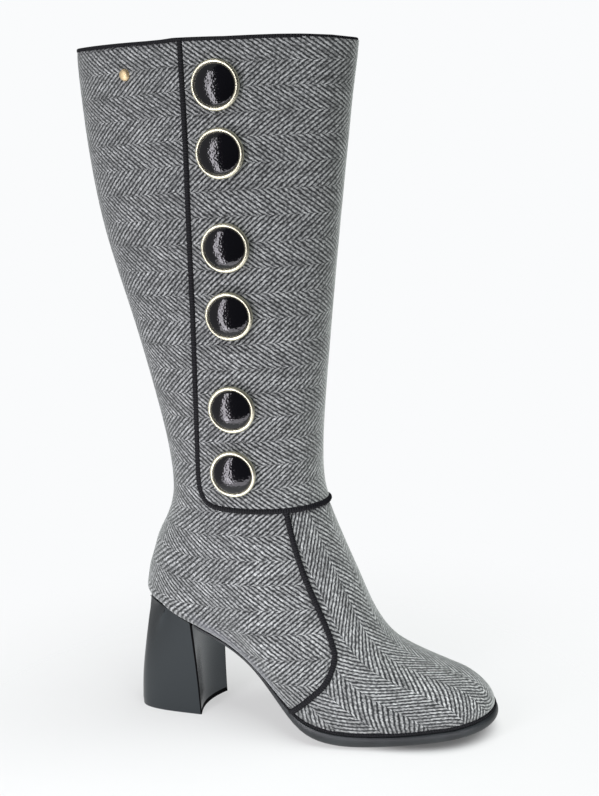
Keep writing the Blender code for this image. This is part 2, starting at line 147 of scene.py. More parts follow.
world = bpy.data.worlds.new("white_studio")
world.use_nodes = True
bpy.context.scene.world = world
tree = world.node_tree
tree.nodes.clear()
rays = add_node(tree, "ShaderNodeLightPath")
way = add_node(tree, "ShaderNodeTexCoord")
facing = add_node(tree, "ShaderNodeVectorMath", {"operation": "DOT_PRODUCT"},
                  {0: way.outputs["Generated"], 1: DARK_SIDE})
dark = add_node(tree, "ShaderNodeMapRange", {"interpolation_type": "SMOOTHSTEP"},
                {"Value": facing.outputs["Value"], "From Min": -DARK_EDGE, "From Max": DARK_EDGE})
in_mirrors = add_node(tree, "ShaderNodeMath", {"operation": "MULTIPLY"},
                      {0: dark.outputs["Result"], 1: rays.outputs["Is Glossy Ray"]})
sky_colour = add_node(tree, "ShaderNodeMix", {"data_type": "RGBA"},
                      {0: in_mirrors.outputs[0], 6: linear(BACKDROP_WHITE), 7: linear(DARK_ROOM)})
sky_level = add_node(tree, "ShaderNodeMapRange", None,
                     {"Value": rays.outputs["Is Camera Ray"], "To Min": SKY_STRENGTH, "To Max": 1.0})
upward = add_node(tree, "ShaderNodeSeparateXYZ", None, {0: way.outputs["Generated"]})
ground = add_node(tree, "ShaderNodeMapRange", None,
                  {"Value": upward.outputs["Z"], "From Min": HORIZON_LOW, "From Max": HORIZON_HIGH,
                   "To Min": GROUND_SHARE, "To Max": 1.0})
direct = add_node(tree, "ShaderNodeMath", {"operation": "SUBTRACT"},
                  {0: 1.0, 1: rays.outputs["Is Diffuse Ray"]})
seen = add_node(tree, "ShaderNodeMath", {"operation": "MAXIMUM"},
                {0: ground.outputs["Result"], 1: direct.outputs[0]})
strength = add_node(tree, "ShaderNodeMath", {"operation": "MULTIPLY"},
                    {0: sky_level.outputs["Result"], 1: seen.outputs[0]})
sky = add_node(tree, "ShaderNodeBackground", None,
               {"Color": sky_colour.outputs[2], "Strength": strength.outputs[0]})
add_node(tree, "ShaderNodeOutputWorld", None, {"Surface": sky.outputs[0]})

# Opal acrylic, faintly lit from below, which fades into the white backdrop so that no far edge shows.
# Under the forefoot its glow is cut down to a painted contact shadow.
TABLE_SIZE = 2.4
TABLE_WHITE = "969797"
TABLE_GLOW = 0.50
# The painted contact shadow under the toe: its glow, and its inner and outer edge in the ellipse's own
# measure.
PAINTED_SHADOW_GLOW = 0.10
PAINTED_SHADOW_INNER = 0.75
PAINTED_SHADOW_OUTER = 1.15
PAINTED_SHADOW_MIDDLE = (0.166, 0.002, 0.0)
PAINTED_SHADOW_REACH = (0.054, 0.037, 1.0)
FADE_START = 0.10
FADE_END = 0.36

opal_acrylic, tree = new_material("opal_acrylic")
place = add_node(tree, "ShaderNodeTexCoord")
offset = add_node(tree, "ShaderNodeVectorMath", {"operation": "SUBTRACT"},
                  {0: place.outputs["Object"], 1: BUTTON_LINE})
reach = add_node(tree, "ShaderNodeVectorMath", {"operation": "LENGTH"}, {0: offset.outputs[0]})
fade = add_node(tree, "ShaderNodeMapRange", {"interpolation_type": "SMOOTHSTEP"},
                {"Value": reach.outputs["Value"], "From Min": FADE_START, "From Max": FADE_END})
acrylic = add_node(tree, "ShaderNodeBsdfDiffuse", None, {"Color": linear(TABLE_WHITE)})
# Painted contact shadow: the glow is dimmed in an ellipse around the ground under the toe.
forefoot = add_node(tree, "ShaderNodeMapping", {"vector_type": "TEXTURE"},
                    {"Vector": place.outputs["Object"], "Location": PAINTED_SHADOW_MIDDLE,
                     "Scale": PAINTED_SHADOW_REACH})
under = add_node(tree, "ShaderNodeVectorMath", {"operation": "LENGTH"}, {0: forefoot.outputs[0]})
glow_with_painted_shadow = add_node(tree, "ShaderNodeMapRange", {"interpolation_type": "SMOOTHSTEP"},
                      {"Value": under.outputs["Value"], "From Min": PAINTED_SHADOW_INNER,
                       "From Max": PAINTED_SHADOW_OUTER, "To Min": PAINTED_SHADOW_GLOW, "To Max": TABLE_GLOW})
glow = add_node(tree, "ShaderNodeEmission", None,
                {"Color": linear("ffffff"), "Strength": glow_with_painted_shadow.outputs["Result"]})
lit = add_node(tree, "ShaderNodeAddShader", None, {0: acrylic.outputs[0], 1: glow.outputs[0]})
clear = add_node(tree, "ShaderNodeBsdfTransparent")
blend = add_node(tree, "ShaderNodeMixShader", None,
                 {0: fade.outputs["Result"], 1: lit.outputs[0], 2: clear.outputs[0]})
add_node(tree, "ShaderNodeOutputMaterial", None, {"Surface": blend.outputs[0]})

bpy.ops.mesh.primitive_plane_add(size=TABLE_SIZE, rotation=(0.0, 0.0, CAMERA_TURN),
                                 location=BUTTON_LINE + (TABLE_SIZE / 2.0 - TABLE_FRONT) * VIEW_AHEAD)
table = bpy.context.object
table.name = "white_table"
bpy.ops.object.transform_apply(location=True, rotation=True, scale=True)
table.data.materials.append(opal_acrylic)


# Upper
# Leg and foot are one shell of wool-blend herringbone, lasted over the foot and lined with black cotton.
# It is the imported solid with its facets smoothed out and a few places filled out. The stripes follow a map
# of the cloth, measured in millimetres.
MM = 0.001
MERGE_GAP = 0.01


def select_only(piece):
    bpy.ops.object.select_all(action="DESELECT")
    bpy.context.view_layer.objects.active = piece
    piece.select_set(True)


def start_edit(piece):
    select_only(piece)
    bpy.ops.object.mode_set(mode="EDIT")
    bpy.ops.mesh.select_all(action="SELECT")


def end_edit():
    bpy.ops.object.mode_set(mode="OBJECT")


def apply_modifier(piece, kind, **settings):
    bpy.context.view_layer.objects.active = piece
    bpy.ops.object.modifier_add(type=kind)
    modifier = piece.modifiers[-1]
    for name, value in settings.items():
        setattr(modifier, name, value)
    bpy.ops.object.modifier_apply(modifier=modifier.name)


def copy_of_solid(node, name):
    """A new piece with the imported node's mesh, merged and turned back to four-sided faces."""
    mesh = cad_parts[node].data.copy()
    mesh.materials.clear()
    piece = bpy.data.objects.new(name, mesh)
    bpy.context.scene.collection.objects.link(piece)
    start_edit(piece)
    bpy.ops.mesh.customdata_custom_splitnormals_clear()
    bpy.ops.mesh.remove_doubles(threshold=MERGE_GAP * MM)
    bpy.ops.mesh.tris_convert_to_quads(face_threshold=math.radians(50), shape_threshold=math.radians(60))
    end_edit()
    return piece


def points_of(mesh):
    """Places of the vertices in millimetres."""
    found = np.empty(len(mesh.vertices) * 3)
    mesh.vertices.foreach_get("co", found)
    return found.reshape(-1, 3) / MM


def set_points(mesh, points):
    """Moves the vertices to places in millimetres."""
    mesh.vertices.foreach_set("co", (points * MM).ravel())
    mesh.update()


def face_values(mesh, what):
    found = np.empty(len(mesh.polygons) * 3)
    mesh.polygons.foreach_get(what, found)
    return found.reshape(-1, 3)


def smooth_path(knots, steps):
    """Points on a smooth curve through the knots, with that many steps between each two."""
    knots = np.asarray(knots, float)
    before = np.vstack([2.0 * knots[0] - knots[1], knots[:-2]])
    starts = knots[:-1]
    ends = knots[1:]
    after = np.vstack([knots[2:], 2.0 * knots[-1] - knots[-2]])
    found = []
    for k in range(steps):
        s = k / steps
        found.append(starts * (2 * s ** 3 - 3 * s ** 2 + 1) + ends * (3 * s ** 2 - 2 * s ** 3)
                     + (ends - before) / 2 * (s ** 3 - 2 * s ** 2 + s)
                     + (after - starts) / 2 * (s ** 3 - s ** 2))
    path = np.stack(found, 1).reshape(-1, knots.shape[1])
    return np.vstack([path, knots[-1]])


def run_along(path):
    """Length along a path up to each of its points."""
    return np.concatenate([[0.0], np.cumsum(np.linalg.norm(np.diff(path, axis=0), axis=1))])


def unit(vectors):
    return vectors / np.linalg.norm(vectors, axis=1)[:, None]


def ramp(low, high, value):
    """Straight step from 0 at low to 1 at high."""
    return np.clip((value - low) / (high - low), 0.0, 1.0)


def ease(low, high, value):
    """Soft step from 0 at low to 1 at high."""
    share = ramp(low, high, value)
    return share * share * (3.0 - 2.0 * share)


# Seams and the ridge of the instep in side view: x and z in millimetres, from top to bottom
PANEL_EDGE = smooth_path((
    (63.0, 440.0), (60.9, 370.0), (56.4, 290.0), (50.5, 220.0), (47.0, 178.0), (47.8, 166.0),
    (51.2, 160.0), (58.0, 157.2), (74.0, 155.5), (92.0, 154.5), (108.0, 153.6), (114.7, 153.0),
    (118.0, 152.0),
), steps=12)
VAMP_SEAM = smooth_path((
    (100.8, 153.4), (104.3, 134.4), (109.1, 115.4), (114.4, 99.4), (120.6, 82.4), (125.8, 67.5),
    (127.8, 57.0), (123.3, 44.0), (113.4, 34.0), (102.0, 24.5), (95.0, 19.0),
), steps=10)
RIDGE_STEPS = 40
INSTEP_RIDGE = smooth_path((
    (110.0, 172.0), (119.2, 146.0), (127.6, 122.0), (136.8, 98.0), (145.6, 74.5), (160.0, 54.8),
    (187.0, 43.0), (208.5, 35.5), (240.0, 24.5), (300.0, 3.5),
), RIDGE_STEPS)

upper = copy_of_solid("upper", "upper_cloth")
apply_modifier(upper, "SUBSURF", levels=2, render_levels=2)

# Faces that look away from the middle of the leg and foot are cloth, the others are lining.
MIDDLE_LINE = smooth_path((
    (65.0, 0.0, 450.0), (65.0, 0.0, 300.0), (65.0, 0.0, 160.0), (70.0, 0.0, 110.0), (100.0, 0.0, 62.0),
    (150.0, 0.0, 28.0), (200.0, 4.0, 20.0),
), steps=20)
CHUNK = 2000


def looks_out(mesh):
    """Whether each face looks away from the middle line, worked out for a chunk of faces at a time."""
    centres = face_values(mesh, "center") / MM
    normals = face_values(mesh, "normal")
    nearest = np.empty(len(centres), int)
    for start in range(0, len(centres), CHUNK):
        part = centres[start:start + CHUNK]
        gaps = ((part[:, None, :] - MIDDLE_LINE[None, :, :]) ** 2).sum(2)
        nearest[start:start + CHUNK] = gaps.argmin(1)
    return ((centres - MIDDLE_LINE[nearest]) * normals).sum(1) > 0.0


outside = looks_out(upper.data)
skin = BVHTree.FromPolygons(
    [vertex.co.copy() for vertex in upper.data.vertices],
    [tuple(face.vertices) for face, out in zip(upper.data.polygons, outside) if out])
MISS_NUDGE = 0.03


def on_skin(start, toward):
    """The point and outward normal where a ray from outside meets the cloth, in millimetres.

    A ray that slips between two faces is cast again a little beside its start.
    """
    toward = Vector(toward).normalized()
    for nudge in (0.0, MISS_NUDGE, -MISS_NUDGE):
        hit, normal, _, _ = skin.ray_cast((Vector(start) + Vector((nudge, nudge, nudge))) * MM, toward)
        if hit is not None and normal.dot(toward) < 0.0:
            return np.array(hit) / MM, np.array(normal)
    return None


FAR = 300.0
LEG_MIDDLE = 65.0
SURE_HEIGHT = 430.0
WALL_RUN = 8.0


def on_wall(start, toward):
    """As on_skin, but near the collar, where the edge is rounded, the wall is run on in a straight line."""
    x, y, height = start
    hit, normal = on_skin((x, y, min(height, SURE_HEIGHT)), toward)
    if height > SURE_HEIGHT:
        below = on_skin((x, y, SURE_HEIGHT - WALL_RUN), toward)[0]
        hit = hit + (hit - below) * (height - SURE_HEIGHT) / WALL_RUN
    return hit, normal


def on_leg(angle, height):
    """The place on the leg's cloth at an angle around it, and its outward normal."""
    way_out = np.array((math.cos(angle), math.sin(angle), 0.0))
    return on_wall((LEG_MIDDLE, 0.0, height) + way_out * FAR, -way_out)


def leg_angle(point):
    return math.atan2(point[1], point[0] - LEG_MIDDLE)


# Way around the leg at each height, measured along the cloth from the outer side towards the front
LEG_FOOT = 92.0
LEG_TOP = 431.0
HEIGHT_STEP = 6.0
TURN_STEP = 2.5
LEG_HEIGHTS = np.arange(LEG_FOOT, LEG_TOP, HEIGHT_STEP)
LEG_TURNS = np.radians(np.arange(-200.0, 201.0, TURN_STEP))
OUTER_SIDE = -math.pi / 2.0

leg_rings = [np.array([on_leg(angle, height)[0] for angle in LEG_TURNS]) for height in LEG_HEIGHTS]
leg_runs = [run_along(ring) for ring in leg_rings]
around_table = np.array([LEG_MIDDLE + run - np.interp(OUTER_SIDE, LEG_TURNS, run) for run in leg_runs])
outer_half = (LEG_TURNS > -math.pi) & (LEG_TURNS < 0.0)
foot_x = leg_rings[0][outer_half, 0]
foot_along = around_table[0, outer_half]


def around_leg(points, turns):
    """Bilinear reading of the table at points in millimetres whose angles around the leg are given."""
    rows = np.clip((points[:, 2] - LEG_FOOT) / HEIGHT_STEP, 0.0, len(LEG_HEIGHTS) - 1.001)
    columns = np.clip((turns - LEG_TURNS[0]) / math.radians(TURN_STEP), 0.0, len(LEG_TURNS) - 1.001)
    r = rows.astype(int)
    c = columns.astype(int)
    row_share = rows - r
    column_share = columns - c
    low = around_table[r, c] * (1 - column_share) + around_table[r, c + 1] * column_share
    high = around_table[r + 1, c] * (1 - column_share) + around_table[r + 1, c + 1] * column_share
    return low * (1 - row_share) + high * row_share


# Herringbone: bands 15.5 mm tall, with stripes 4.2 mm apart along the band and 3.05 mm apart across it
BAND = 15.5
STRIPE_ALONG = 4.2
STRIPE_ACROSS = 3.05
LEG_BAND_EDGE = 308.8
VAMP_BAND_EDGE = 33.0
MAP_SCALE = 0.01

# How the lasting draws the bands of the leg: the place or height where each bend starts, and its strength
STILL_PLACE = 50.0
LEAN_START = 250.0
COLLAR_START = 380.0
COLLAR_STRETCH = 0.10
QUARTER_START = 132.0
QUARTER_DEPTH = 50.0
INSTEP_START = 60.0
INSTEP_LENGTH = 60.0
QUARTER_BEND = (3.93, -3.0, 1.02)
BACK_START = 58.0
FOOT_BACK_BEND = (0.103, -0.0034)
LEG_BACK_BEND = 0.045
SHIN_START = 90.0
SHIN_BEND = 0.0008


def leg_map(points, turns, gain, lean):
    """Cloth coordinates on the leg and quarters: nearly level bands, drawn a little by the lasting."""
    x, _, z = points.T
    on_foot = ramp(LEG_FOOT, LEG_FOOT - 4.0, z) * ramp(20.0, 40.0, x)
    along = around_leg(points, turns)
    along = along * (1.0 - on_foot) + np.interp(x, foot_x, foot_along) * on_foot
    along = STILL_PLACE + (along - STILL_PLACE) * gain
    along = along + lean * np.maximum(z - LEAN_START, 0.0)
    down = np.maximum(QUARTER_START - z, 0.0) / QUARTER_DEPTH
    ahead = (x - INSTEP_START) / INSTEP_LENGTH
    behind = np.maximum(BACK_START - x, 0.0)
    shin = np.maximum(x - SHIN_START, 0.0)
    quarter = ramp(160.0, 135.0, z)
    across = z + COLLAR_STRETCH * np.maximum(z - COLLAR_START, 0.0)
    across = across + down * (QUARTER_BEND[0] + QUARTER_BEND[1] * ahead + QUARTER_BEND[2] * ahead ** 2)
    across = across + quarter * (FOOT_BACK_BEND[0] * behind + FOOT_BACK_BEND[1] * behind ** 2)
    across = across + (1.0 - quarter) * LEG_BACK_BEND * behind
    across = across + SHIN_BEND * shin ** 2 * ramp(150.0, 210.0, z)
    return np.stack([along, across - LEG_BAND_EDGE], 1) * MAP_SCALE


# How the bands of the vamp swing out beside the ridge, close up around the foot and drift towards the toe
SWING_DEPTH = 30.0
SWING_BELOW = 0.4
SWING_TURN = math.radians(57.0)
TOE_CLOSING = 0.3
GIRTH_BEND = 0.0022
GIRTH_REACH = 56.0
GIRTH_SLOPE = 0.246
VAMP_DRIFT = 5.0
VAMP_LENGTH = 150.0
VAMP_GAIN = 1.08


def vamp_map(points, sides):
    """Cloth coordinates on the vamp: bands run from the ankle to the toe, beside the instep's ridge."""
    course = unit(np.gradient(INSTEP_RIDGE, axis=0))
    run = run_along(INSTEP_RIDGE)
    slope = np.arctan2(course[:, 1], course[:, 0])
    bend = np.gradient(slope, run)
    place = np.empty(len(points))
    depth = np.empty(len(points))
    for start in range(0, len(points), CHUNK):
        part = points[start:start + CHUNK, ::2]
        near = ((part[:, None] - INSTEP_RIDGE[None]) ** 2).sum(2).argmin(1)
        off = part - INSTEP_RIDGE[near]
        below = np.abs(off[:, 0] * course[near, 1] - off[:, 1] * course[near, 0])
        depth[start:start + CHUNK] = below
        place[start:start + CHUNK] = run[near] + (off * course[near]).sum(1) / (1.0 + below * bend[near])
    swing = np.minimum(depth, SWING_DEPTH) + SWING_BELOW * np.maximum(depth - SWING_DEPTH, 0.0)
    along = place + swing * (np.interp(place, run, slope) + SWING_TURN)
    reach = np.hypot(points[:, 1], depth * (1.0 - TOE_CLOSING * ease(195.0, 218.0, points[:, 0])))
    girth = reach + GIRTH_BEND * np.minimum(reach, GIRTH_REACH) ** 2
    girth = girth + GIRTH_SLOPE * np.maximum(reach - GIRTH_REACH, 0.0)
    across = -sides * girth + VAMP_DRIFT * (along - run[RIDGE_STEPS]) / VAMP_LENGTH
    return np.stack([along * VAMP_GAIN, across - VAMP_BAND_EDGE], 1) * MAP_SCALE


def face_corners(mesh):
    """Vertex number and face number of each face corner."""
    vertices = np.empty(len(mesh.loops), int)
    mesh.loops.foreach_get("vertex_index", vertices)
    totals = np.empty(len(mesh.polygons), int)
    mesh.polygons.foreach_get("loop_total", totals)
    return vertices, np.repeat(np.arange(len(totals)), totals)


LEG_GAIN = 1.13
QUARTER_GAIN = 1.02
LEG_LEAN = 0.09


def map_cloth(mesh, mirrored):
    """Gives the mesh the cloth map. Each face takes the leg's or the vamp's by the place of its middle."""
    vertices, faces = face_corners(mesh)
    at = points_of(mesh)[vertices]
    middle = (face_values(mesh, "center") / MM)[faces]
    turns = np.arctan2(at[:, 1], at[:, 0] - LEG_MIDDLE)
    if mirrored:
        gain = np.interp(at[:, 2], (130.0, 200.0), (QUARTER_GAIN, LEG_GAIN))
        values = leg_map(at, -np.abs(turns), gain, LEG_LEAN)
    else:
        values = leg_map(at, turns, LEG_GAIN, 0.0)
    seam_x = np.interp(middle[:, 2], VAMP_SEAM[::-1, 1], VAMP_SEAM[::-1, 0])
    on_vamp = (middle[:, 0] > seam_x) & (middle[:, 2] < VAMP_SEAM[0, 1])
    values[on_vamp] = vamp_map(at[on_vamp], np.sign(middle[on_vamp, 1]))
    layer = mesh.uv_layers.new(name="cloth")
    layer.data.foreach_set("uv", values.astype(np.float32).ravel())


# Rise of the collar's edge on the outer side, over the back of the leg and over the button panel
RISE_PLACES = (-23.0, 40.0, 50.0, 58.0, 90.0, 106.0, 122.0, 134.0, 146.0, 156.0)
RISES = (0.0, 0.0, 0.3, 0.95, 1.05, 1.65, 2.25, 2.45, 2.15, 1.7)
COLLAR_BACK = -23.0
COLLAR_LENGTH = 179.5
COLLAR_TOP = 441.3
FRONT_DROP = 6.5
SIDE_ARCH = 16.0


def collar_height(x, y):
    """Height of the collar's edge: lower at the front, higher at both sides, highest on the outer side."""
    share = (x - COLLAR_BACK) / COLLAR_LENGTH
    level = COLLAR_TOP - FRONT_DROP * share + SIDE_ARCH * share * (1.0 - share)
    return level + ramp(10.0, -15.0, y) * np.interp(x, RISE_PLACES, RISES)


corners = points_of(upper.data)
pull = ramp(400.0, 438.0, corners[:, 2]) ** 2
solid_edge = collar_height(corners[:, 0], FAR)
corners[:, 2] += pull * (collar_height(corners[:, 0], corners[:, 1]) - solid_edge)

# The front of the leg stands out a little further, most at the collar, and the toe is fuller.
FRONT_FULLNESS = 0.9
COLLAR_FULLNESS = 1.2
TOE_FULLNESS = 1.3


def fuller_front(x, z):
    """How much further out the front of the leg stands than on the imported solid."""
    swell = FRONT_FULLNESS * ease(170.0, 240.0, z) + COLLAR_FULLNESS * ease(400.0, 440.0, z)
    return swell * ease(100.0, 150.0, x)


def fuller_toe(x):
    """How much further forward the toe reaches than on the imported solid."""
    return TOE_FULLNESS * ease(185.0, 210.0, x)


corners[:, 0] += fuller_front(corners[:, 0], corners[:, 2]) + fuller_toe(corners[:, 0])

# The sole springs up at the toe and is thicker under the ball of the foot, and the cloth follows its edge.
TOE_SPRING = 3.6
TIP_DROP = 1.2
BALL_THICKNESS = 1.4


def sole_rise(x):
    """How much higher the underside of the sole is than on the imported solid."""
    return TOE_SPRING * ease(130.0, 190.0, x) - TIP_DROP * ease(207.0, 220.0, x)


def rim_rise(x):
    """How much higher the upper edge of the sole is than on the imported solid."""
    return sole_rise(x) + BALL_THICKNESS * ease(85.0, 118.0, x) * ease(180.0, 140.0, x)


corners[:, 2] += rim_rise(corners[:, 0]) * ease(34.0, 10.0, corners[:, 2])

# At the back of the seat the cloth rounds in a little and comes lower down over the heel.
SEAT_DROP = 5.0
SEAT_INSET = 0.6
COUNTER_FULLNESS = 2.0


def seat_back(x):
    """1 at the back of the heel seat, easing to 0 in front of it."""
    return ease(4.0, -11.0, x)


seat = seat_back(corners[:, 0])
heights = corners[:, 2].copy()
corners[:, 0] += SEAT_INSET * seat * ease(92.0, 86.0, heights)
corners[:, 2] -= SEAT_DROP * seat * ease(106.0, 88.0, heights)
counter = ease(81.0, 90.0, corners[:, 2]) * ease(130.0, 104.0, corners[:, 2])
corners[:, 0] -= COUNTER_FULLNESS * ease(8.0, -10.0, corners[:, 0]) * counter
set_points(upper.data, corners)

# Under the arch the cloth is drawn in over the edge of the sole. Near the sole its stripes give way to
# painted shade, a flat grey for the shade and blur where the cloth turns under.
WAIST_EDGE = smooth_path((
    (9.0, 78.2), (30.0, 68.2), (48.0, 58.7), (62.0, 49.3), (76.0, 38.5), (97.0, 18.6),
), steps=8)
WAIST_SLANT = 0.77

x, _, z = corners.T
above = WAIST_SLANT * (z - np.interp(x, WAIST_EDGE[:, 0], WAIST_EDGE[:, 1]))
waist_shade = ease(10.0, 2.5, above) * ease(22.0, 40.0, x) * ease(97.0, 80.0, x)
attribute = upper.data.attributes.new("waist_painted_shade", "FLOAT", "POINT")
attribute.data.foreach_set("value", waist_shade.astype(np.float32))

while upper.data.uv_layers:
    upper.data.uv_layers.remove(upper.data.uv_layers[0])
map_cloth(upper.data, True)

# Wool-blend herringbone: black and chalk yarns in zigzag twill, dull, with a pale bloom of fuzz at a low
# angle. The yarns are 0.6 mm, too fine to show, so the stripes carry beads of 1 to 2 mm instead.
BLACK_YARN = "292b2d"
CHALK_YARN = "929493"
FUZZ = "dfe4e0"
# The next grey is painted shade, for where the cloth turns under at the waist.
WAIST_SHADE_GREY = "67686e"
BEADS_PER_STRIPE = (2.0, 1.3, 1.0)
SLUBS_PER_STRIPE = (1.0, 0.14, 1.0)
STREAK_LENGTH = 32.0
STREAK_WIDTH = 5.0

herringbone, tree = new_material("wool_herringbone")
cloth = add_node(tree, "ShaderNodeUVMap", {"uv_map": "cloth"})
axes = add_node(tree, "ShaderNodeSeparateXYZ", None, {0: cloth.outputs[0]})
zigzag = add_node(tree, "ShaderNodeMath", {"operation": "PINGPONG"},
                  {0: axes.outputs["Y"], 1: BAND * MAP_SCALE})
climb = add_node(tree, "ShaderNodeMath", {"operation": "DIVIDE"},
                 {0: zigzag.outputs[0], 1: STRIPE_ACROSS * MAP_SCALE})
travel = add_node(tree, "ShaderNodeMath", {"operation": "DIVIDE"},
                  {0: axes.outputs["X"], 1: STRIPE_ALONG * MAP_SCALE})
in_pair = add_node(tree, "ShaderNodeMath", {"operation": "FLOORED_MODULO"},
                   {0: axes.outputs["Y"], 1: 2.0 * BAND * MAP_SCALE})
returning = add_node(tree, "ShaderNodeMath", {"operation": "GREATER_THAN"},
                     {0: in_pair.outputs[0], 1: BAND * MAP_SCALE})
shifted = add_node(tree, "ShaderNodeMath", {"operation": "MULTIPLY_ADD"},
                   {0: returning.outputs[0], 1: 0.5, 2: travel.outputs[0]})
count = add_node(tree, "ShaderNodeMath", {"operation": "ADD"},
                 {0: shifted.outputs[0], 1: climb.outputs[0]})
slant = add_node(tree, "ShaderNodeMath", {"operation": "SUBTRACT"},
                 {0: travel.outputs[0], 1: climb.outputs[0]})
weave = add_node(tree, "ShaderNodeCombineXYZ", None, {"X": count.outputs[0], "Y": slant.outputs[0]})
wander = add_node(tree, "ShaderNodeTexNoise", {"noise_dimensions": "2D"},
                  {"Vector": weave.outputs[0], "Scale": 0.9, "Detail": 2.0})
strayed = add_node(tree, "ShaderNodeMath", {"operation": "MULTIPLY_ADD"},
                   {0: wander.outputs["Fac"], 1: 0.25, 2: count.outputs[0]})
stripe = add_node(tree, "ShaderNodeMath", {"operation": "PINGPONG"}, {0: strayed.outputs[0], 1: 0.5})
bead_shape = add_node(tree, "ShaderNodeVectorMath", {"operation": "MULTIPLY"},
                      {0: weave.outputs[0], 1: BEADS_PER_STRIPE})
beads = add_node(tree, "ShaderNodeTexNoise", {"noise_dimensions": "2D"},
                 {"Vector": bead_shape.outputs[0], "Scale": 1.0, "Detail": 1.0})
ragged = add_node(tree, "ShaderNodeMath", {"operation": "MULTIPLY_ADD"},
                  {0: beads.outputs["Fac"], 1: 0.24, 2: stripe.outputs[0]})
chalk = add_node(tree, "ShaderNodeMapRange", {"interpolation_type": "SMOOTHSTEP"},
                 {"Value": ragged.outputs[0], "From Min": 0.21, "From Max": 0.53})
slub_shape = add_node(tree, "ShaderNodeVectorMath", {"operation": "MULTIPLY"},
                      {0: weave.outputs[0], 1: SLUBS_PER_STRIPE})
slubs = add_node(tree, "ShaderNodeTexNoise", {"noise_dimensions": "2D"},
                 {"Vector": slub_shape.outputs[0], "Scale": 1.0, "Detail": 1.0})
bead_level = add_node(tree, "ShaderNodeMapRange", None,
                      {"Value": beads.outputs["Fac"], "From Min": 0.3, "From Max": 0.7,
                       "To Min": 0.5, "To Max": 1.4})
slub_level = add_node(tree, "ShaderNodeMapRange", None,
                      {"Value": slubs.outputs["Fac"], "From Min": 0.3, "From Max": 0.7,
                       "To Min": 0.78, "To Max": 1.18})
streaks_per_map = (1.0 / (STREAK_LENGTH * MAP_SCALE), 1.0 / (STREAK_WIDTH * MAP_SCALE), 1.0)
streak_shape = add_node(tree, "ShaderNodeVectorMath", {"operation": "MULTIPLY"},
                        {0: cloth.outputs[0], 1: streaks_per_map})
streaks = add_node(tree, "ShaderNodeTexNoise", {"noise_dimensions": "2D"},
                   {"Vector": streak_shape.outputs[0], "Scale": 1.0, "Detail": 2.0})
streak_level = add_node(tree, "ShaderNodeMapRange", None,
                        {"Value": streaks.outputs["Fac"], "From Min": 0.3, "From Max": 0.7,
                         "To Min": 0.82, "To Max": 1.18})
yarn_level = add_node(tree, "ShaderNodeMath", {"operation": "MULTIPLY"},
                      {0: bead_level.outputs[0], 1: slub_level.outputs[0]})
level = add_node(tree, "ShaderNodeMath", {"operation": "MULTIPLY"},
                 {0: yarn_level.outputs[0], 1: streak_level.outputs[0]})
yarns = add_node(tree, "ShaderNodeMix", {"data_type": "RGBA"},
                 {0: chalk.outputs[0], 6: linear(BLACK_YARN), 7: linear(CHALK_YARN)})
striped = add_node(tree, "ShaderNodeMix", {"data_type": "RGBA", "blend_type": "MULTIPLY"},
                   {0: 1.0, 6: yarns.outputs[2], 7: level.outputs[0]})
# Painted shade: near the sole at the waist the stripes fade into a flat grey.
waist_painted_shade = add_node(tree, "ShaderNodeAttribute", {"attribute_name": "waist_painted_shade"})
waist_shade_mix = add_node(tree, "ShaderNodeMath", {"operation": "MULTIPLY"}, {0: waist_painted_shade.outputs["Fac"], 1: 0.8})
shade = add_node(tree, "ShaderNodeMix", {"data_type": "RGBA"},
                 {0: waist_shade_mix.outputs[0], 6: striped.outputs[2], 7: linear(WAIST_SHADE_GREY)})
ridge = add_node(tree, "ShaderNodeMath", {"operation": "PINGPONG"}, {0: strayed.outputs[0], 1: 0.25})
relief = add_node(tree, "ShaderNodeMath", {"operation": "MULTIPLY_ADD"},
                  {0: ridge.outputs[0], 1: 2.0, 2: beads.outputs["Fac"]})
bump = add_node(tree, "ShaderNodeBump", None,
                {"Strength": 0.55, "Distance": 0.35 * MM, "Height": relief.outputs[0]})
surface = add_node(tree, "ShaderNodeBsdfPrincipled", None,
                   {"Base Color": shade.outputs[2], "Roughness": 0.92, "Specular IOR Level": 0.2,
                    "Sheen Weight": 0.8, "Sheen Roughness": 0.45, "Sheen Tint": linear(FUZZ),
                    "Normal": bump.outputs[0]})
add_node(tree, "ShaderNodeOutputMaterial", None, {"Surface": surface.outputs[0]})

# Plain black lining: cotton drill at 0.7 mm a thread, soft and without shine.
# A band texture of scale 1 has a wave about every 0.3 units.
LINING_BLACK = "2a2a2d"
THREAD = 0.7
WAVE_SPAN = 0.3

lining, tree = new_material("cotton_lining")
place = add_node(tree, "ShaderNodeTexCoord")
threads = add_node(tree, "ShaderNodeTexWave", {"bands_direction": "DIAGONAL"},
                   {"Vector": place.outputs["Object"], "Scale": WAVE_SPAN / (THREAD * MM),
                    "Distortion": 0.6})
tone = add_node(tree, "ShaderNodeMapRange", None,
                {"Value": threads.outputs["Fac"], "To Min": 0.75, "To Max": 1.1})
shade = add_node(tree, "ShaderNodeMix", {"data_type": "RGBA", "blend_type": "MULTIPLY"},
                 {0: 1.0, 6: linear(LINING_BLACK), 7: tone.outputs[0]})
bump = add_node(tree, "ShaderNodeBump", None,
                {"Strength": 0.3, "Distance": 0.2 * MM, "Height": threads.outputs["Fac"]})
surface = add_node(tree, "ShaderNodeBsdfPrincipled", None,
                   {"Base Color": shade.outputs[2], "Roughness": 0.95, "Specular IOR Level": 0.2,
                    "Normal": bump.outputs[0]})
add_node(tree, "ShaderNodeOutputMaterial", None, {"Surface": surface.outputs[0]})

upper.data.materials.append(herringbone)
upper.data.materials.append(lining)
upper.data.polygons.foreach_set("material_index", np.where(outside, 0, 1).astype(np.int32))
select_only(upper)
bpy.ops.object.shade_smooth()
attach(upper, "root")
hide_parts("upper")


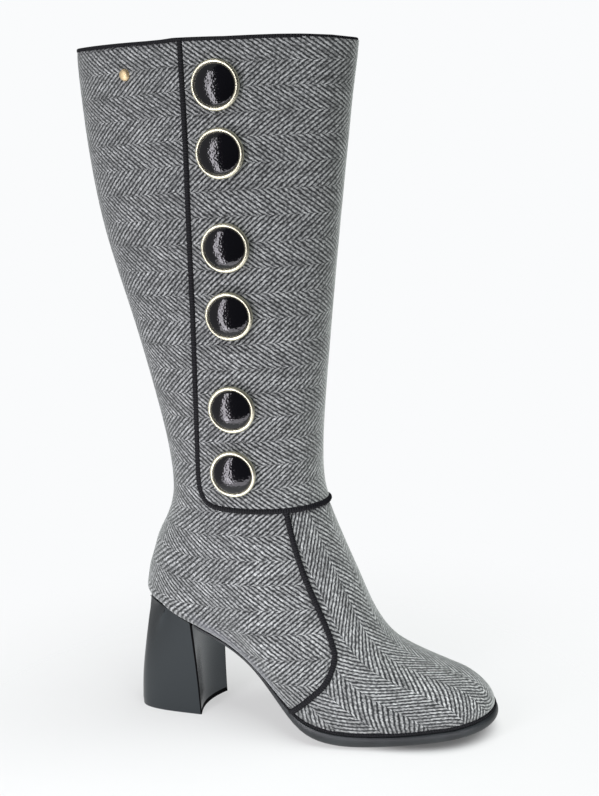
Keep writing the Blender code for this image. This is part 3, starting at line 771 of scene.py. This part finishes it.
# Button panel
# A wrap of the same herringbone over the front of the leg, 1.2 mm thick. It is sewn down under the cord
# that runs along its edge, and carries the six buttons on the outer side.
PANEL_THICKNESS = 1.2
PANEL_GAP = 0.05
PANEL_COLUMNS = 96
PANEL_TOP = 436.0
BINDING_LAP = 0.8
EDGE_GAP = 0.2
INNER_DROP = 6.0


def panel_edge_x(height):
    return np.interp(height, PANEL_EDGE[::-1, 1], PANEL_EDGE[::-1, 0])


def panel_edge_angle(height, side):
    """Angle around the leg of the panel's edge on the outer (-1) or inner (1) side."""
    edge_x = min(panel_edge_x(height), on_leg(0.0, height)[0][0] - EDGE_GAP)
    return leg_angle(on_skin((edge_x, side * FAR, height), (0.0, -side, 0.0))[0])


def inner_drop(angle, height):
    """How much lower the panel's bottom edge runs on the inner side of the leg than on the outer side."""
    inner = ease(math.radians(-10.0), math.radians(46.0), angle)
    return INNER_DROP * inner * ease(185.0, 158.0, height)


def grid_faces(rows, per_row, closed):
    """Four-sided faces between rows of points. Each row is a line, or a ring where it is closed."""
    found = []
    for r in range(rows - 1):
        for k in range(per_row if closed else per_row - 1):
            n = (k + 1) % per_row
            found.append((r * per_row + k, r * per_row + n, (r + 1) * per_row + n, (r + 1) * per_row + k))
    return found


def mesh_piece(name, points, faces):
    """A new piece of points in millimetres, with its faces turned outwards."""
    mesh = bpy.data.meshes.new(name)
    mesh.from_pydata([tuple(point) for point in points * MM], [], faces)
    piece = bpy.data.objects.new(name, mesh)
    bpy.context.scene.collection.objects.link(piece)
    start_edit(piece)
    bpy.ops.mesh.normals_make_consistent(inside=False)
    end_edit()
    return piece


# The rows are close together along the curved bottom edge and further apart up the leg.
panel_heights = np.concatenate([
    np.linspace(PANEL_EDGE[-1, 1] + 0.1, 157.4, 14),
    np.linspace(158.2, 180.0, 14),
    np.linspace(184.0, PANEL_TOP, 64),
])
panel_points = []
for height in panel_heights:
    first = panel_edge_angle(height, -1.0)
    last = panel_edge_angle(height, 1.0)
    rise = ramp(380.0, PANEL_TOP, height)
    for k in range(PANEL_COLUMNS + 1):
        angle = first + (last - first) * k / PANEL_COLUMNS
        hit, normal = on_leg(angle, height - inner_drop(angle, height))
        hit[2] += rise * rise * (collar_height(hit[0], hit[1]) - BINDING_LAP - PANEL_TOP)
        hit[0] += fuller_front(hit[0], hit[2])
        panel_points.append(hit + normal * PANEL_GAP)
panel = mesh_piece("button_panel_cloth", np.array(panel_points),
                   grid_faces(len(panel_heights), PANEL_COLUMNS + 1, False))
map_cloth(panel.data, False)
panel.data.materials.append(herringbone)
apply_modifier(panel, "SOLIDIFY", thickness=PANEL_THICKNESS * MM, offset=1.0)
select_only(panel)
bpy.ops.object.shade_smooth_by_angle(angle=math.radians(40))
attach(panel, "root")
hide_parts("button_panel")


# Corded edges
# Black ribbed cord, 3.8 mm, sewn over the panel's edge and over the seam of the vamp on both sides.
# Each cord lies on the cloth with its lower third sunk into it.
CORD_RADIUS = 1.9
CORD_LIFT = 0.7
CORD_SIDES = 12
CORD_SPACING = 1.5
RIB = 1.6
RIB_DEPTH = 0.16
PANEL_FRONT = 113.0
FRONT_STEPS = 30
BINDING_TUCK = 0.1
BOTTOM_EDGE = PANEL_EDGE[-40:]


def side_path(path, side):
    """Places on the cloth under a path in side view, each a point and its outward normal."""
    return [on_wall((x, side * FAR, z), (0.0, -side, 0.0)) for x, z in path]


def even_path(path, spacing):
    """The path again, with points an even spacing apart."""
    run = run_along(path[:, :3])
    at = np.linspace(0.0, run[-1], int(run[-1] / spacing) + 1)
    return np.stack([np.interp(at, run, column) for column in path.T], 1)


def settle(places, rounds):
    """Evens out small steps along a row of places on the cloth."""
    points = np.array([hit for hit, _ in places])
    normals = np.array([normal for _, normal in places])
    for _ in range(rounds):
        points[1:-1] = (points[:-2] + 2.0 * points[1:-1] + points[2:]) / 4.0
        normals[1:-1] = (normals[:-2] + 2.0 * normals[1:-1] + normals[2:]) / 4.0
    return list(zip(points, unit(normals)))


def keep_length(piece, along, per_row):
    """Keeps the length along a piece as an attribute, for the shade of its ribs."""
    attribute = piece.data.attributes.new("along", "FLOAT", "POINT")
    attribute.data.foreach_set("value", np.repeat(along, per_row).astype(np.float32))


def cord_piece(name, places, lift, radius):
    """A ribbed cord along places on the cloth, with closed ends."""
    path = even_path(np.array([(*(hit + normal * lift), *normal) for hit, normal in places]), RIB / 4.0)
    middle = path[:, :3]
    course = unit(np.gradient(middle, axis=0))
    across = unit(np.cross(course, path[:, 3:]))
    up = np.cross(across, course)
    along = run_along(middle)
    swell = radius - RIB_DEPTH * np.cos(2.0 * math.pi * along / RIB)
    lines = []
    for k in range(CORD_SIDES):
        angle = 2.0 * math.pi * k / CORD_SIDES
        lines.append(middle + swell[:, None] * (math.cos(angle) * across + math.sin(angle) * up))
    faces = grid_faces(len(middle), CORD_SIDES, True)
    for start in (0, (len(middle) - 1) * CORD_SIDES):
        faces.append(tuple(start + k for k in range(CORD_SIDES)))
    piece = mesh_piece(name, np.stack(lines, 1).reshape(-1, 3), faces)
    keep_length(piece, along, CORD_SIDES)
    bpy.ops.object.shade_smooth_by_angle(angle=math.radians(50))
    return piece


def edge_places(side):
    """Places of the panel's edge on one side of the leg, from the binding to the front."""
    path = PANEL_EDGE.copy()
    path[0, 1] = collar_height(path[0, 0], side * FAR) + BINDING_TUCK
    return side_path(even_path(path[path[:, 0] < PANEL_FRONT], CORD_SPACING), side)


outer_edge = edge_places(-1.0)
inner_edge = edge_places(1.0)
first = leg_angle(outer_edge[-1][0])
last = leg_angle(inner_edge[-1][0])
front_edge = []
for k in range(1, FRONT_STEPS):
    angle = first + (last - first) * k / FRONT_STEPS
    height = outer_edge[-1][0][2]
    for _ in range(3):
        hit, normal = on_leg(angle, height)
        height = np.interp(hit[0], BOTTOM_EDGE[:, 0], BOTTOM_EDGE[:, 1])
    front_edge.append((hit, normal))
around_edge = outer_edge + front_edge + inner_edge[::-1]
for k, (hit, _) in enumerate(around_edge):
    angle = leg_angle(hit)
    drop = inner_drop(angle, hit[2])
    if drop > 0.0:
        around_edge[k] = on_leg(angle, hit[2] - drop)
panel_cord = cord_piece("panel_cord", settle(around_edge, rounds=4), CORD_LIFT, CORD_RADIUS)

# Black ribbed rayon cord with a faint soft shine. It is darker between its ribs, which is painted shade in
# the grooves.
CORD_BLACK = "0b0b0e"
CORD_GREY = "1a1b1e"

ribbed_cord, tree = new_material("ribbed_rayon_cord")
length = add_node(tree, "ShaderNodeAttribute", {"attribute_name": "along"})
ribs = add_node(tree, "ShaderNodeMath", {"operation": "PINGPONG"}, {0: length.outputs["Fac"], 1: RIB / 2.0})
rib = add_node(tree, "ShaderNodeMapRange", {"interpolation_type": "SMOOTHSTEP"},
               {"Value": ribs.outputs[0], "From Max": RIB / 2.0})
shade = add_node(tree, "ShaderNodeMix", {"data_type": "RGBA"},
                 {0: rib.outputs[0], 6: linear(CORD_BLACK), 7: linear(CORD_GREY)})
bump = add_node(tree, "ShaderNodeBump", None,
                {"Strength": 0.5, "Distance": 0.25 * MM, "Height": rib.outputs[0]})
surface = add_node(tree, "ShaderNodeBsdfPrincipled", None,
                   {"Base Color": shade.outputs[2], "Roughness": 0.75, "Specular IOR Level": 0.25,
                    "Normal": bump.outputs[0]})
add_node(tree, "ShaderNodeOutputMaterial", None, {"Surface": surface.outputs[0]})

panel_cord.data.materials.append(ribbed_cord)
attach(panel_cord, "root")
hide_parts("panel_piping")

# The cords of the vamp start under the panel's edge, lower on the inner side, and end at the sole.
VAMP_CORD_RADIUS = 1.85
VAMP_CORD_LIFT = 0.5
VAMP_CORD_FOOT = 20.5

for name, node, side, start in (
        ("vamp_cord_outer", "vamp_piping_outer", -1.0, VAMP_SEAM[0, 1]),
        ("vamp_cord_inner", "vamp_piping_inner", 1.0, VAMP_SEAM[0, 1] - INNER_DROP)):
    seam = VAMP_SEAM[(VAMP_SEAM[:, 1] > VAMP_CORD_FOOT) & (VAMP_SEAM[:, 1] <= start)]
    seam_places = settle(side_path(even_path(seam, CORD_SPACING), side), rounds=3)
    vamp_cord = cord_piece(name, seam_places, VAMP_CORD_LIFT, VAMP_CORD_RADIUS)
    vamp_cord.data.materials.append(ribbed_cord)
    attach(vamp_cord, "root")
    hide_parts(node)


# Collar binding
# A folded strip of the same ribbed black stuff over the top edge of the leg, sewn through both layers.
# It stands out further where it also covers the button panel.
BINDING_STEPS = 160
BINDING_START = math.radians(120.0)
BINDING_PROUD = 0.35
PANEL_PROUD = 1.05
WALL = 2.0

# Section of the tape: share of the way from the inner to the outer face, and height over the edge
TAPE_SECTION = (
    (1.0, -1.5), (1.0, -0.1), (0.9, 0.45), (0.7, 0.7), (0.3, 0.7), (0.1, 0.45), (0.0, -0.1), (0.0, -1.5),
)

binding_turns = np.linspace(BINDING_START, BINDING_START + 2.0 * math.pi, BINDING_STEPS + 1)
ring = np.array([on_leg(angle, PANEL_TOP)[0] for angle in binding_turns])
for _ in range(3):
    ring[1:-1] = (ring[:-2] + 2.0 * ring[1:-1] + ring[2:]) / 4.0
course = np.gradient(ring, axis=0)
away = unit(np.stack([course[:, 1], -course[:, 0]], 1))
heights = collar_height(ring[:, 0], ring[:, 1])
ring[:, 0] += fuller_front(ring[:, 0], heights)
over_panel = ramp(-2.0, 2.0, ring[:, 0] - panel_edge_x(heights))
out = BINDING_PROUD + PANEL_PROUD * over_panel
lines = []
for share, rise in TAPE_SECTION:
    offset = -WALL - BINDING_PROUD + share * (WALL + BINDING_PROUD + out)
    lines.append(np.column_stack([ring[:, :2] + away * offset[:, None], heights + rise]))
binding = mesh_piece("collar_tape", np.stack(lines, 1).reshape(-1, 3),
                     grid_faces(BINDING_STEPS + 1, len(TAPE_SECTION), True))
keep_length(binding, run_along(ring), len(TAPE_SECTION))
binding.data.materials.append(ribbed_cord)
bpy.ops.object.shade_smooth_by_angle(angle=math.radians(60))
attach(binding, "root")
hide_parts("collar_binding")


# Insole
# A board covered in smooth grey sheepskin, laid on the sole and the heel seat inside the shell.
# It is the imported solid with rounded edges, raised at the toe with the sole.
INSOLE_GREY = "8b8782"
INSOLE_ROUND = 0.6

insole = copy_of_solid("insole", "insole_cover")
at = points_of(insole.data)
at[:, 2] += rim_rise(at[:, 0])
set_points(insole.data, at)
apply_modifier(insole, "BEVEL", width=INSOLE_ROUND * MM, segments=2,
               limit_method="ANGLE", angle_limit=math.radians(40))

# Sheepskin: fine grain of about 0.8 mm, dull, with soft patches of tone.
sheepskin, tree = new_material("sheepskin_cover")
place = add_node(tree, "ShaderNodeTexCoord")
grain = add_node(tree, "ShaderNodeTexVoronoi", None,
                 {"Vector": place.outputs["Object"], "Scale": 1.0 / (0.8 * MM)})
patches = add_node(tree, "ShaderNodeTexNoise", None,
                   {"Vector": place.outputs["Object"], "Scale": 1.0 / (25.0 * MM), "Detail": 3.0})
tone = add_node(tree, "ShaderNodeMapRange", None,
                {"Value": patches.outputs["Fac"], "To Min": 0.85, "To Max": 1.1})
shade = add_node(tree, "ShaderNodeMix", {"data_type": "RGBA", "blend_type": "MULTIPLY"},
                 {0: 1.0, 6: linear(INSOLE_GREY), 7: tone.outputs[0]})
bump = add_node(tree, "ShaderNodeBump", None,
                {"Strength": 0.2, "Distance": 0.15 * MM, "Height": grain.outputs["Distance"]})
surface = add_node(tree, "ShaderNodeBsdfPrincipled", None,
                   {"Base Color": shade.outputs[2], "Roughness": 0.65, "Normal": bump.outputs[0]})
add_node(tree, "ShaderNodeOutputMaterial", None, {"Surface": surface.outputs[0]})

insole.data.materials.append(sheepskin)
select_only(insole)
bpy.ops.object.shade_smooth_by_angle(angle=math.radians(35))
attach(insole, "root")
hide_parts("insole")


# Outsole
# Moulded black rubber from the toe to the heel breast: a rounded edge at the forefoot stands out beyond
# the upper and thins to a slim shank at the waist. The sole is cemented to the lasted edge of the cloth,
# and a thin black cord covers the join.
EDGE_CURL = 0.9
TOE_REACH = 1.2
SIDE_FULLNESS = 2.8
DEPTH_FULLNESS = 4.0
SOLE_MIDDLE = 3.0
GROUND_GAP = 0.05

outsole = copy_of_solid("outsole", "rubber_outsole")


def level_line(mesh, way):
    """Places, sorted by x, of the vertices of the faces that look up (1) or down (-1)."""
    level = face_values(mesh, "normal")[:, 2] * way > 0.7
    found = {v for face, chosen in zip(mesh.polygons, level) if chosen for v in face.vertices}
    line = points_of(mesh)[sorted(found)]
    return line[np.argsort(line[:, 0])]


# The thick forefoot starts well back at the waist, and its upper edge curls up a little against the cloth.
sole_top = level_line(outsole.data, 1.0)
sole_bottom = level_line(outsole.data, -1.0)
at = points_of(outsole.data)
x, y, z = at.T.copy()
top = np.interp(x, sole_top[:, 0], sole_top[:, 2])
bottom = np.interp(x, sole_bottom[:, 0], sole_bottom[:, 2])
share = ramp(bottom, top, z)
forward = ease(72.0, 98.0, x)
fuller = forward - ease(84.0, 116.0, x)
at[:, 0] += TOE_REACH * ease(195.0, 216.0, x)
at[:, 1] += np.sign(y - SOLE_MIDDLE) * SIDE_FULLNESS * fuller
at[:, 2] += EDGE_CURL * forward * ease(0.4, 0.9, share) - DEPTH_FULLNESS * fuller * (1.0 - share)
at[:, 2] = np.maximum(at[:, 2], np.minimum(z, GROUND_GAP))
at[:, 2] += sole_rise(x) * (1.0 - share) + rim_rise(x) * share
set_points(outsole.data, at)
start_edit(outsole)
bpy.ops.mesh.select_all(action="DESELECT")
bpy.context.tool_settings.mesh_select_mode = (False, True, False)
bpy.ops.mesh.edges_select_sharp(sharpness=math.radians(58))
bpy.ops.transform.edge_crease(value=0.85)
end_edit()
apply_modifier(outsole, "SUBSURF", levels=2, render_levels=2)

# Moulded rubber: near black, satin, with a fine mould grain of about 0.6 mm and a little dust in the tone.
RUBBER_BLACK = "1e2123"
RUBBER_DUST = "2b2f31"

rubber, tree = new_material("moulded_rubber")
place = add_node(tree, "ShaderNodeTexCoord")
dust = add_node(tree, "ShaderNodeTexNoise", None,
                {"Vector": place.outputs["Object"], "Scale": 1.0 / (14.0 * MM), "Detail": 5.0})
tone = add_node(tree, "ShaderNodeMapRange", None,
                {"Value": dust.outputs["Fac"], "From Min": 0.35, "From Max": 0.75})
shade = add_node(tree, "ShaderNodeMix", {"data_type": "RGBA"},
                 {0: tone.outputs[0], 6: linear(RUBBER_BLACK), 7: linear(RUBBER_DUST)})
grain = add_node(tree, "ShaderNodeTexNoise", None,
                 {"Vector": place.outputs["Object"], "Scale": 1.0 / (0.6 * MM), "Detail": 2.0})
bump = add_node(tree, "ShaderNodeBump", None,
                {"Strength": 0.15, "Distance": 0.1 * MM, "Height": grain.outputs["Fac"]})
surface = add_node(tree, "ShaderNodeBsdfPrincipled", None,
                   {"Base Color": shade.outputs[2], "Roughness": 0.42, "Normal": bump.outputs[0]})
add_node(tree, "ShaderNodeOutputMaterial", None, {"Surface": surface.outputs[0]})

outsole.data.materials.append(rubber)
select_only(outsole)
bpy.ops.object.shade_smooth_by_angle(angle=math.radians(45))
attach(outsole, "root")
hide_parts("outsole")

# The thin cord runs along the top of the sole's edge, from the waist around the toe and back.
WELT_RADIUS = 1.0
WELT_LIFT = 0.5
WELT_START = 79.0

sole_rim = sole_top[sole_top[:, 0] > WELT_START]
outer_rim = sole_rim[sole_rim[:, 1] < SOLE_MIDDLE]
inner_rim = sole_rim[sole_rim[:, 1] >= SOLE_MIDDLE]
welt_line = smooth_path(np.vstack([outer_rim, inner_rim[::-1]]), steps=8)
welt_height = (0.0, 0.0, EDGE_CURL + 0.6 * WELT_RADIUS)
welt_places = []
for point in even_path(welt_line, CORD_SPACING):
    hit, normal, _, _ = skin.find_nearest(Vector(point + welt_height) * MM)
    hit = np.array(hit) / MM
    hit[2] += rim_rise(hit[0])
    hit[0] += fuller_toe(hit[0])
    welt_places.append((hit, np.array(normal)))
welt = cord_piece("welt_cord", settle(welt_places, rounds=4), WELT_LIFT, WELT_RADIUS)
welt.data.materials.append(ribbed_cord)
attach(welt, "root")


# Heel and lift
# A flared block heel covered in smooth black leather, with a hollow breast. Its rubber lift is nailed on
# below and finished like the cover, with painted shade in dead black along the breast's corners and on the
# lift's front face.
CORNER_RADIUS = 1.1
BACK_FULLNESS = 0.9
SEAT_FULLNESS = 0.5
BREAST_HOLLOW = 1.2
BREAST_MIDDLE = 2.4
BREAST_HALF = 18.8
BREAST_OUTER = -17.0
BREAST_WIDTH = 38.0
BREAST_TURN = 3.1
BREAST_INSET = 0.6


def shape_heel(piece, front_drop):
    """Fills out the back of the block, turns its breast outward a little and rounds the upright corners."""
    at = points_of(piece.data)
    x, y, z = at.T.copy()
    fuller = (BACK_FULLNESS + SEAT_FULLNESS * ease(45.0, 64.0, z)) * ease(86.0, 68.0, z)
    at[:, 0] += SEAT_INSET * seat_back(x) * ease(70.0, 84.0, z) - fuller * ease(8.0, -18.0, x)
    at[:, 2] -= SEAT_DROP * seat_back(x) * ease(40.0, 84.0, z)
    at[:, 2] -= front_drop * ease(14.0, 18.0, x) * ease(8.0, 6.0, z)
    hollow = BREAST_HOLLOW * np.clip(1.0 - ((y - BREAST_MIDDLE) / BREAST_HALF) ** 2, 0.0, 1.0)
    turn = BREAST_TURN * (y - BREAST_OUTER) / BREAST_WIDTH
    at[:, 0] += (turn - BREAST_INSET - hollow) * ease(2.0, 18.0, x)
    set_points(piece.data, at)
    start_edit(piece)
    bpy.ops.mesh.select_all(action="DESELECT")
    bpy.context.tool_settings.mesh_select_mode = (False, True, False)
    bpy.ops.mesh.edges_select_sharp(sharpness=math.radians(40))
    end_edit()
    for edge in piece.data.edges:
        run = at[edge.vertices[1]] - at[edge.vertices[0]]
        if abs(run[2]) < 0.7 * np.linalg.norm(run):
            edge.select = False
    bpy.ops.object.mode_set(mode="EDIT")
    # The rounds of the upright corners take the painted shade in slot 1.
    bpy.ops.mesh.bevel(offset=CORNER_RADIUS * MM, segments=4, affect="EDGES", material=1)
    bpy.ops.mesh.select_all(action="DESELECT")
    bpy.ops.mesh.edges_select_sharp(sharpness=math.radians(40))
    bpy.ops.transform.edge_crease(value=1.0)
    bpy.ops.mesh.select_all(action="DESELECT")
    piece.active_material_index = 1
    bpy.ops.object.material_slot_select()
    bpy.ops.mesh.region_to_loop()
    bpy.ops.transform.edge_crease(value=1.0)
    end_edit()
    apply_modifier(piece, "SUBSURF", levels=2, render_levels=2)


# Smooth covered leather: black with a satin finish and a cool shine, a very fine grain of about 0.5 mm and
# slow waves in its sheen.
HEEL_BLACK = "0f1113"
HEEL_SHINE = "ebf7ff"

heel_leather, tree = new_material("satin_heel_leather")
place = add_node(tree, "ShaderNodeTexCoord")
grain = add_node(tree, "ShaderNodeTexNoise", None,
                 {"Vector": place.outputs["Object"], "Scale": 1.0 / (0.5 * MM), "Detail": 2.0})
waves = add_node(tree, "ShaderNodeTexNoise", None,
                 {"Vector": place.outputs["Object"], "Scale": 1.0 / (18.0 * MM), "Detail": 2.0})
gloss = add_node(tree, "ShaderNodeMapRange", None,
                 {"Value": waves.outputs["Fac"], "To Min": 0.18, "To Max": 0.26})
bump = add_node(tree, "ShaderNodeBump", None,
                {"Strength": 0.1, "Distance": 0.08 * MM, "Height": grain.outputs["Fac"]})
surface = add_node(tree, "ShaderNodeBsdfPrincipled", None,
                   {"Base Color": linear(HEEL_BLACK), "Roughness": gloss.outputs[0],
                    "Specular IOR Level": 0.82, "Specular Tint": linear(HEEL_SHINE),
                    "Normal": bump.outputs[0]})
add_node(tree, "ShaderNodeOutputMaterial", None, {"Surface": surface.outputs[0]})

# Painted shade: dead black on the rounded corners of the breast and on the lift's front face, which turn
# into shadow.
PAINTED_SHADE_BLACK = "050506"
PAINTED_SHADE_GREY = "080809"

corner_painted_shade, tree = new_material("black_painted_shade")
place = add_node(tree, "ShaderNodeTexCoord")
strokes = add_node(tree, "ShaderNodeTexNoise", None,
                   {"Vector": place.outputs["Object"], "Scale": 1.0 / (3.0 * MM), "Detail": 2.0})
tone = add_node(tree, "ShaderNodeMix", {"data_type": "RGBA"},
                {0: strokes.outputs["Fac"], 6: linear(PAINTED_SHADE_BLACK), 7: linear(PAINTED_SHADE_GREY)})
surface = add_node(tree, "ShaderNodeBsdfPrincipled", None,
                   {"Base Color": tone.outputs[2], "Roughness": 0.9, "Specular IOR Level": 0.1})
add_node(tree, "ShaderNodeOutputMaterial", None, {"Surface": surface.outputs[0]})

HEEL_FRONT_DROP = 1.8

heel = copy_of_solid("heel", "heel_block")
heel.data.materials.append(heel_leather)
heel.data.materials.append(corner_painted_shade)
shape_heel(heel, HEEL_FRONT_DROP)
select_only(heel)
bpy.ops.object.shade_smooth_by_angle(angle=math.radians(45))
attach(heel, "root")
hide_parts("heel")

# The top of the lift is raised to meet the heel, and its front face gets the same painted shade as the
# corners.
LIFT_MIDDLE = 3.0
LIFT_RISE = 0.6

lift = copy_of_solid("heel_lift", "rubber_lift")
lift.data.materials.append(heel_leather)
lift.data.materials.append(corner_painted_shade)
at = points_of(lift.data)
at[at[:, 2] > LIFT_MIDDLE, 2] += LIFT_RISE
set_points(lift.data, at)
shape_heel(lift, 0.0)
shaded_front_faces = face_values(lift.data, "normal")[:, 0] > 0.6
for face, in_painted_shade in zip(lift.data.polygons, shaded_front_faces):
    if in_painted_shade:
        face.material_index = 1
select_only(lift)
bpy.ops.object.shade_smooth_by_angle(angle=math.radians(45))
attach(lift, "root")
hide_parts("heel_lift")


# Buttons
# Six gilt cups, 30 mm across, with a rolled rim around a domed disc of black patent leather. Each is sewn
# through the panel by a shank behind it. One is modelled and copied to the six places.
BUTTON_RADIUS = 14.9
RIM_WIDTH = 2.6
RIM_HEIGHT = 3.4
RIM_MERGE = 0.005
BUTTON_PLACES = ((83.6, 415.9), (83.0, 376.9), (81.4, 321.8), (79.6, 280.5), (75.1, 222.0), (72.0, 180.4))
BUTTON_LIFT = PANEL_THICKNESS + 0.3

bpy.ops.object.select_all(action="DESELECT")
bpy.ops.mesh.primitive_circle_add(
    vertices=14, radius=RIM_WIDTH / 2.0 * MM, rotation=(math.pi / 2.0, 0.0, 0.0),
    location=((BUTTON_RADIUS - RIM_WIDTH / 2.0) * MM, 0.0, 0.0))
rim = bpy.context.object
bpy.ops.object.transform_apply(location=True, rotation=True, scale=True)
start_edit(rim)
bpy.ops.transform.resize(value=(1.0, 1.0, RIM_HEIGHT / RIM_WIDTH), center_override=(0.0, 0.0, 0.0))
bpy.ops.transform.translate(value=(0.0, 0.0, RIM_HEIGHT / 2.0 * MM))
bpy.ops.mesh.spin(steps=72, angle=2.0 * math.pi, center=(0.0, 0.0, 0.0), axis=(0.0, 0.0, 1.0))
bpy.ops.mesh.select_all(action="SELECT")
bpy.ops.mesh.remove_doubles(threshold=RIM_MERGE * MM)
bpy.ops.mesh.normals_make_consistent(inside=False)
end_edit()
bpy.ops.object.shade_smooth()

# Gilt brass: pale gold with a soft shine and worn marks of about 1.6 mm.
GILT = "ebe9d4"
GILT_WORN = "dfdbbf"

gilt, tree = new_material("gilt_brass")
place = add_node(tree, "ShaderNodeTexCoord")
marks = add_node(tree, "ShaderNodeTexNoise", None,
                 {"Vector": place.outputs["Object"], "Scale": 1.0 / (1.6 * MM), "Detail": 3.0})
shade = add_node(tree, "ShaderNodeMix", {"data_type": "RGBA"},
                 {0: marks.outputs["Fac"], 6: linear(GILT), 7: linear(GILT_WORN)})
gloss = add_node(tree, "ShaderNodeMapRange", None,
                 {"Value": marks.outputs["Fac"], "To Min": 0.4, "To Max": 0.5})
surface = add_node(tree, "ShaderNodeBsdfPrincipled", None,
                   {"Base Color": shade.outputs[2], "Metallic": 1.0, "Roughness": gloss.outputs[0]})
add_node(tree, "ShaderNodeOutputMaterial", None, {"Surface": surface.outputs[0]})
rim.data.materials.append(gilt)

# Radius and height of each step of the dome, from its edge to its top
DOME_STEPS = ((12.2, 3.4), (11.2, 4.2), (9.8, 4.95), (8.0, 5.65), (6.0, 6.2), (3.6, 6.5), (1.5, 6.62))
DOME_RADIUS = 13.0
DOME_BASE = 1.9


def raise_steps(radius, height, steps):
    """Raises the selected disc step by step to smaller radii and greater heights, and closes its top."""
    for next_radius, next_height in steps:
        bpy.ops.mesh.inset(thickness=(radius - next_radius) * MM, depth=0.0)
        bpy.ops.transform.translate(value=(0.0, 0.0, (next_height - height) * MM))
        radius = next_radius
        height = next_height
    bpy.ops.mesh.poke()


bpy.ops.object.select_all(action="DESELECT")
bpy.ops.mesh.primitive_circle_add(vertices=64, radius=DOME_RADIUS * MM, fill_type="NGON",
                                  location=(0.0, 0.0, DOME_BASE * MM))
dome = bpy.context.object
bpy.ops.object.transform_apply(location=True, rotation=True, scale=True)
start_edit(dome)
raise_steps(DOME_RADIUS, DOME_BASE, DOME_STEPS)
end_edit()
apply_modifier(dome, "SUBSURF", levels=1, render_levels=1)
bpy.ops.object.shade_smooth()

# Black patent leather with a crushed grain of about 1.3 mm: a hard gloss that breaks up along the grain.
PATENT_BLACK = "0c0c0f"

patent, tree = new_material("crushed_patent_leather")
place = add_node(tree, "ShaderNodeTexCoord")
grain = add_node(tree, "ShaderNodeTexVoronoi", {"feature": "SMOOTH_F1"},
                 {"Vector": place.outputs["Object"], "Scale": 1.0 / (1.3 * MM), "Smoothness": 0.6})
bump = add_node(tree, "ShaderNodeBump", None,
                {"Strength": 0.42, "Distance": 0.24 * MM, "Height": grain.outputs["Distance"]})
surface = add_node(tree, "ShaderNodeBsdfPrincipled", None,
                   {"Base Color": linear(PATENT_BLACK), "Roughness": 0.12, "Normal": bump.outputs[0]})
add_node(tree, "ShaderNodeOutputMaterial", None, {"Surface": surface.outputs[0]})
dome.data.materials.append(patent)


def stand_on_side(mesh, x, z, lift):
    """Moves a mesh made on the origin to a place on the boot's outer side, with its axis on the normal."""
    hit, normal = on_skin((x, -FAR, z), (0.0, 1.0, 0.0))
    turn = Vector(normal).to_track_quat("Z", "Y").to_matrix().to_4x4()
    mesh.transform(Matrix.Translation(Vector(hit + normal * lift) * MM) @ turn)


for number, (x, z) in enumerate(BUTTON_PLACES, start=1):
    for pattern, name, node, slot in (
            (rim, f"button_rim_gilt_{number}", f"button_rim_{number}", "gilt"),
            (dome, f"button_dome_patent_{number}", f"button_dome_{number}", "button_leather")):
        piece = bpy.data.objects.new(name, pattern.data.copy())
        bpy.context.scene.collection.objects.link(piece)
        stand_on_side(piece.data, x, z, BUTTON_LIFT)
        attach(piece, "root")
        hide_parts(node)
bpy.data.objects.remove(rim)
bpy.data.objects.remove(dome)


# Side stud
# A small plain round stud of brushed gilt brass, riveted through the leg near the collar.
# Its low dome is raised in steps, as the domes of the buttons are.
STUD_RADIUS = 3.6
STUD_STEPS = ((3.4, 0.9), (2.9, 1.6), (2.1, 2.1), (1.0, 2.35))
STUD_PLACE = (23.0, 425.0)
STUD_LIFT = 0.1

bpy.ops.object.select_all(action="DESELECT")
bpy.ops.mesh.primitive_circle_add(vertices=40, radius=STUD_RADIUS * MM, fill_type="NGON")
stud = bpy.context.object
stud.name = "side_stud_gilt"
start_edit(stud)
raise_steps(STUD_RADIUS, 0.0, STUD_STEPS)
end_edit()
apply_modifier(stud, "SUBSURF", levels=1, render_levels=1)
bpy.ops.object.shade_smooth()
stand_on_side(stud.data, *STUD_PLACE, STUD_LIFT)

# Brushed gilt brass: warm pale gold that catches light from all sides, with fine strokes of about 0.5 mm.
STUD_GILT = "f7e4bd"
STUD_GILT_WORN = "ecd4a6"

brushed_gilt, tree = new_material("brushed_gilt_brass")
place = add_node(tree, "ShaderNodeTexCoord")
brushed = add_node(tree, "ShaderNodeMapping", None,
                   {"Vector": place.outputs["Object"], "Scale": (1.0, 1.0, 0.12)})
strokes = add_node(tree, "ShaderNodeTexNoise", None,
                   {"Vector": brushed.outputs[0], "Scale": 1.0 / (0.5 * MM), "Detail": 2.0})
shade = add_node(tree, "ShaderNodeMix", {"data_type": "RGBA"},
                 {0: strokes.outputs["Fac"], 6: linear(STUD_GILT), 7: linear(STUD_GILT_WORN)})
gloss = add_node(tree, "ShaderNodeMapRange", None,
                 {"Value": strokes.outputs["Fac"], "To Min": 0.52, "To Max": 0.7})
surface = add_node(tree, "ShaderNodeBsdfPrincipled", None,
                   {"Base Color": shade.outputs[2], "Metallic": 1.0, "Roughness": gloss.outputs[0]})
add_node(tree, "ShaderNodeOutputMaterial", None, {"Surface": surface.outputs[0]})
stud.data.materials.append(brushed_gilt)
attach(stud, "root")
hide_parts("side_stud")
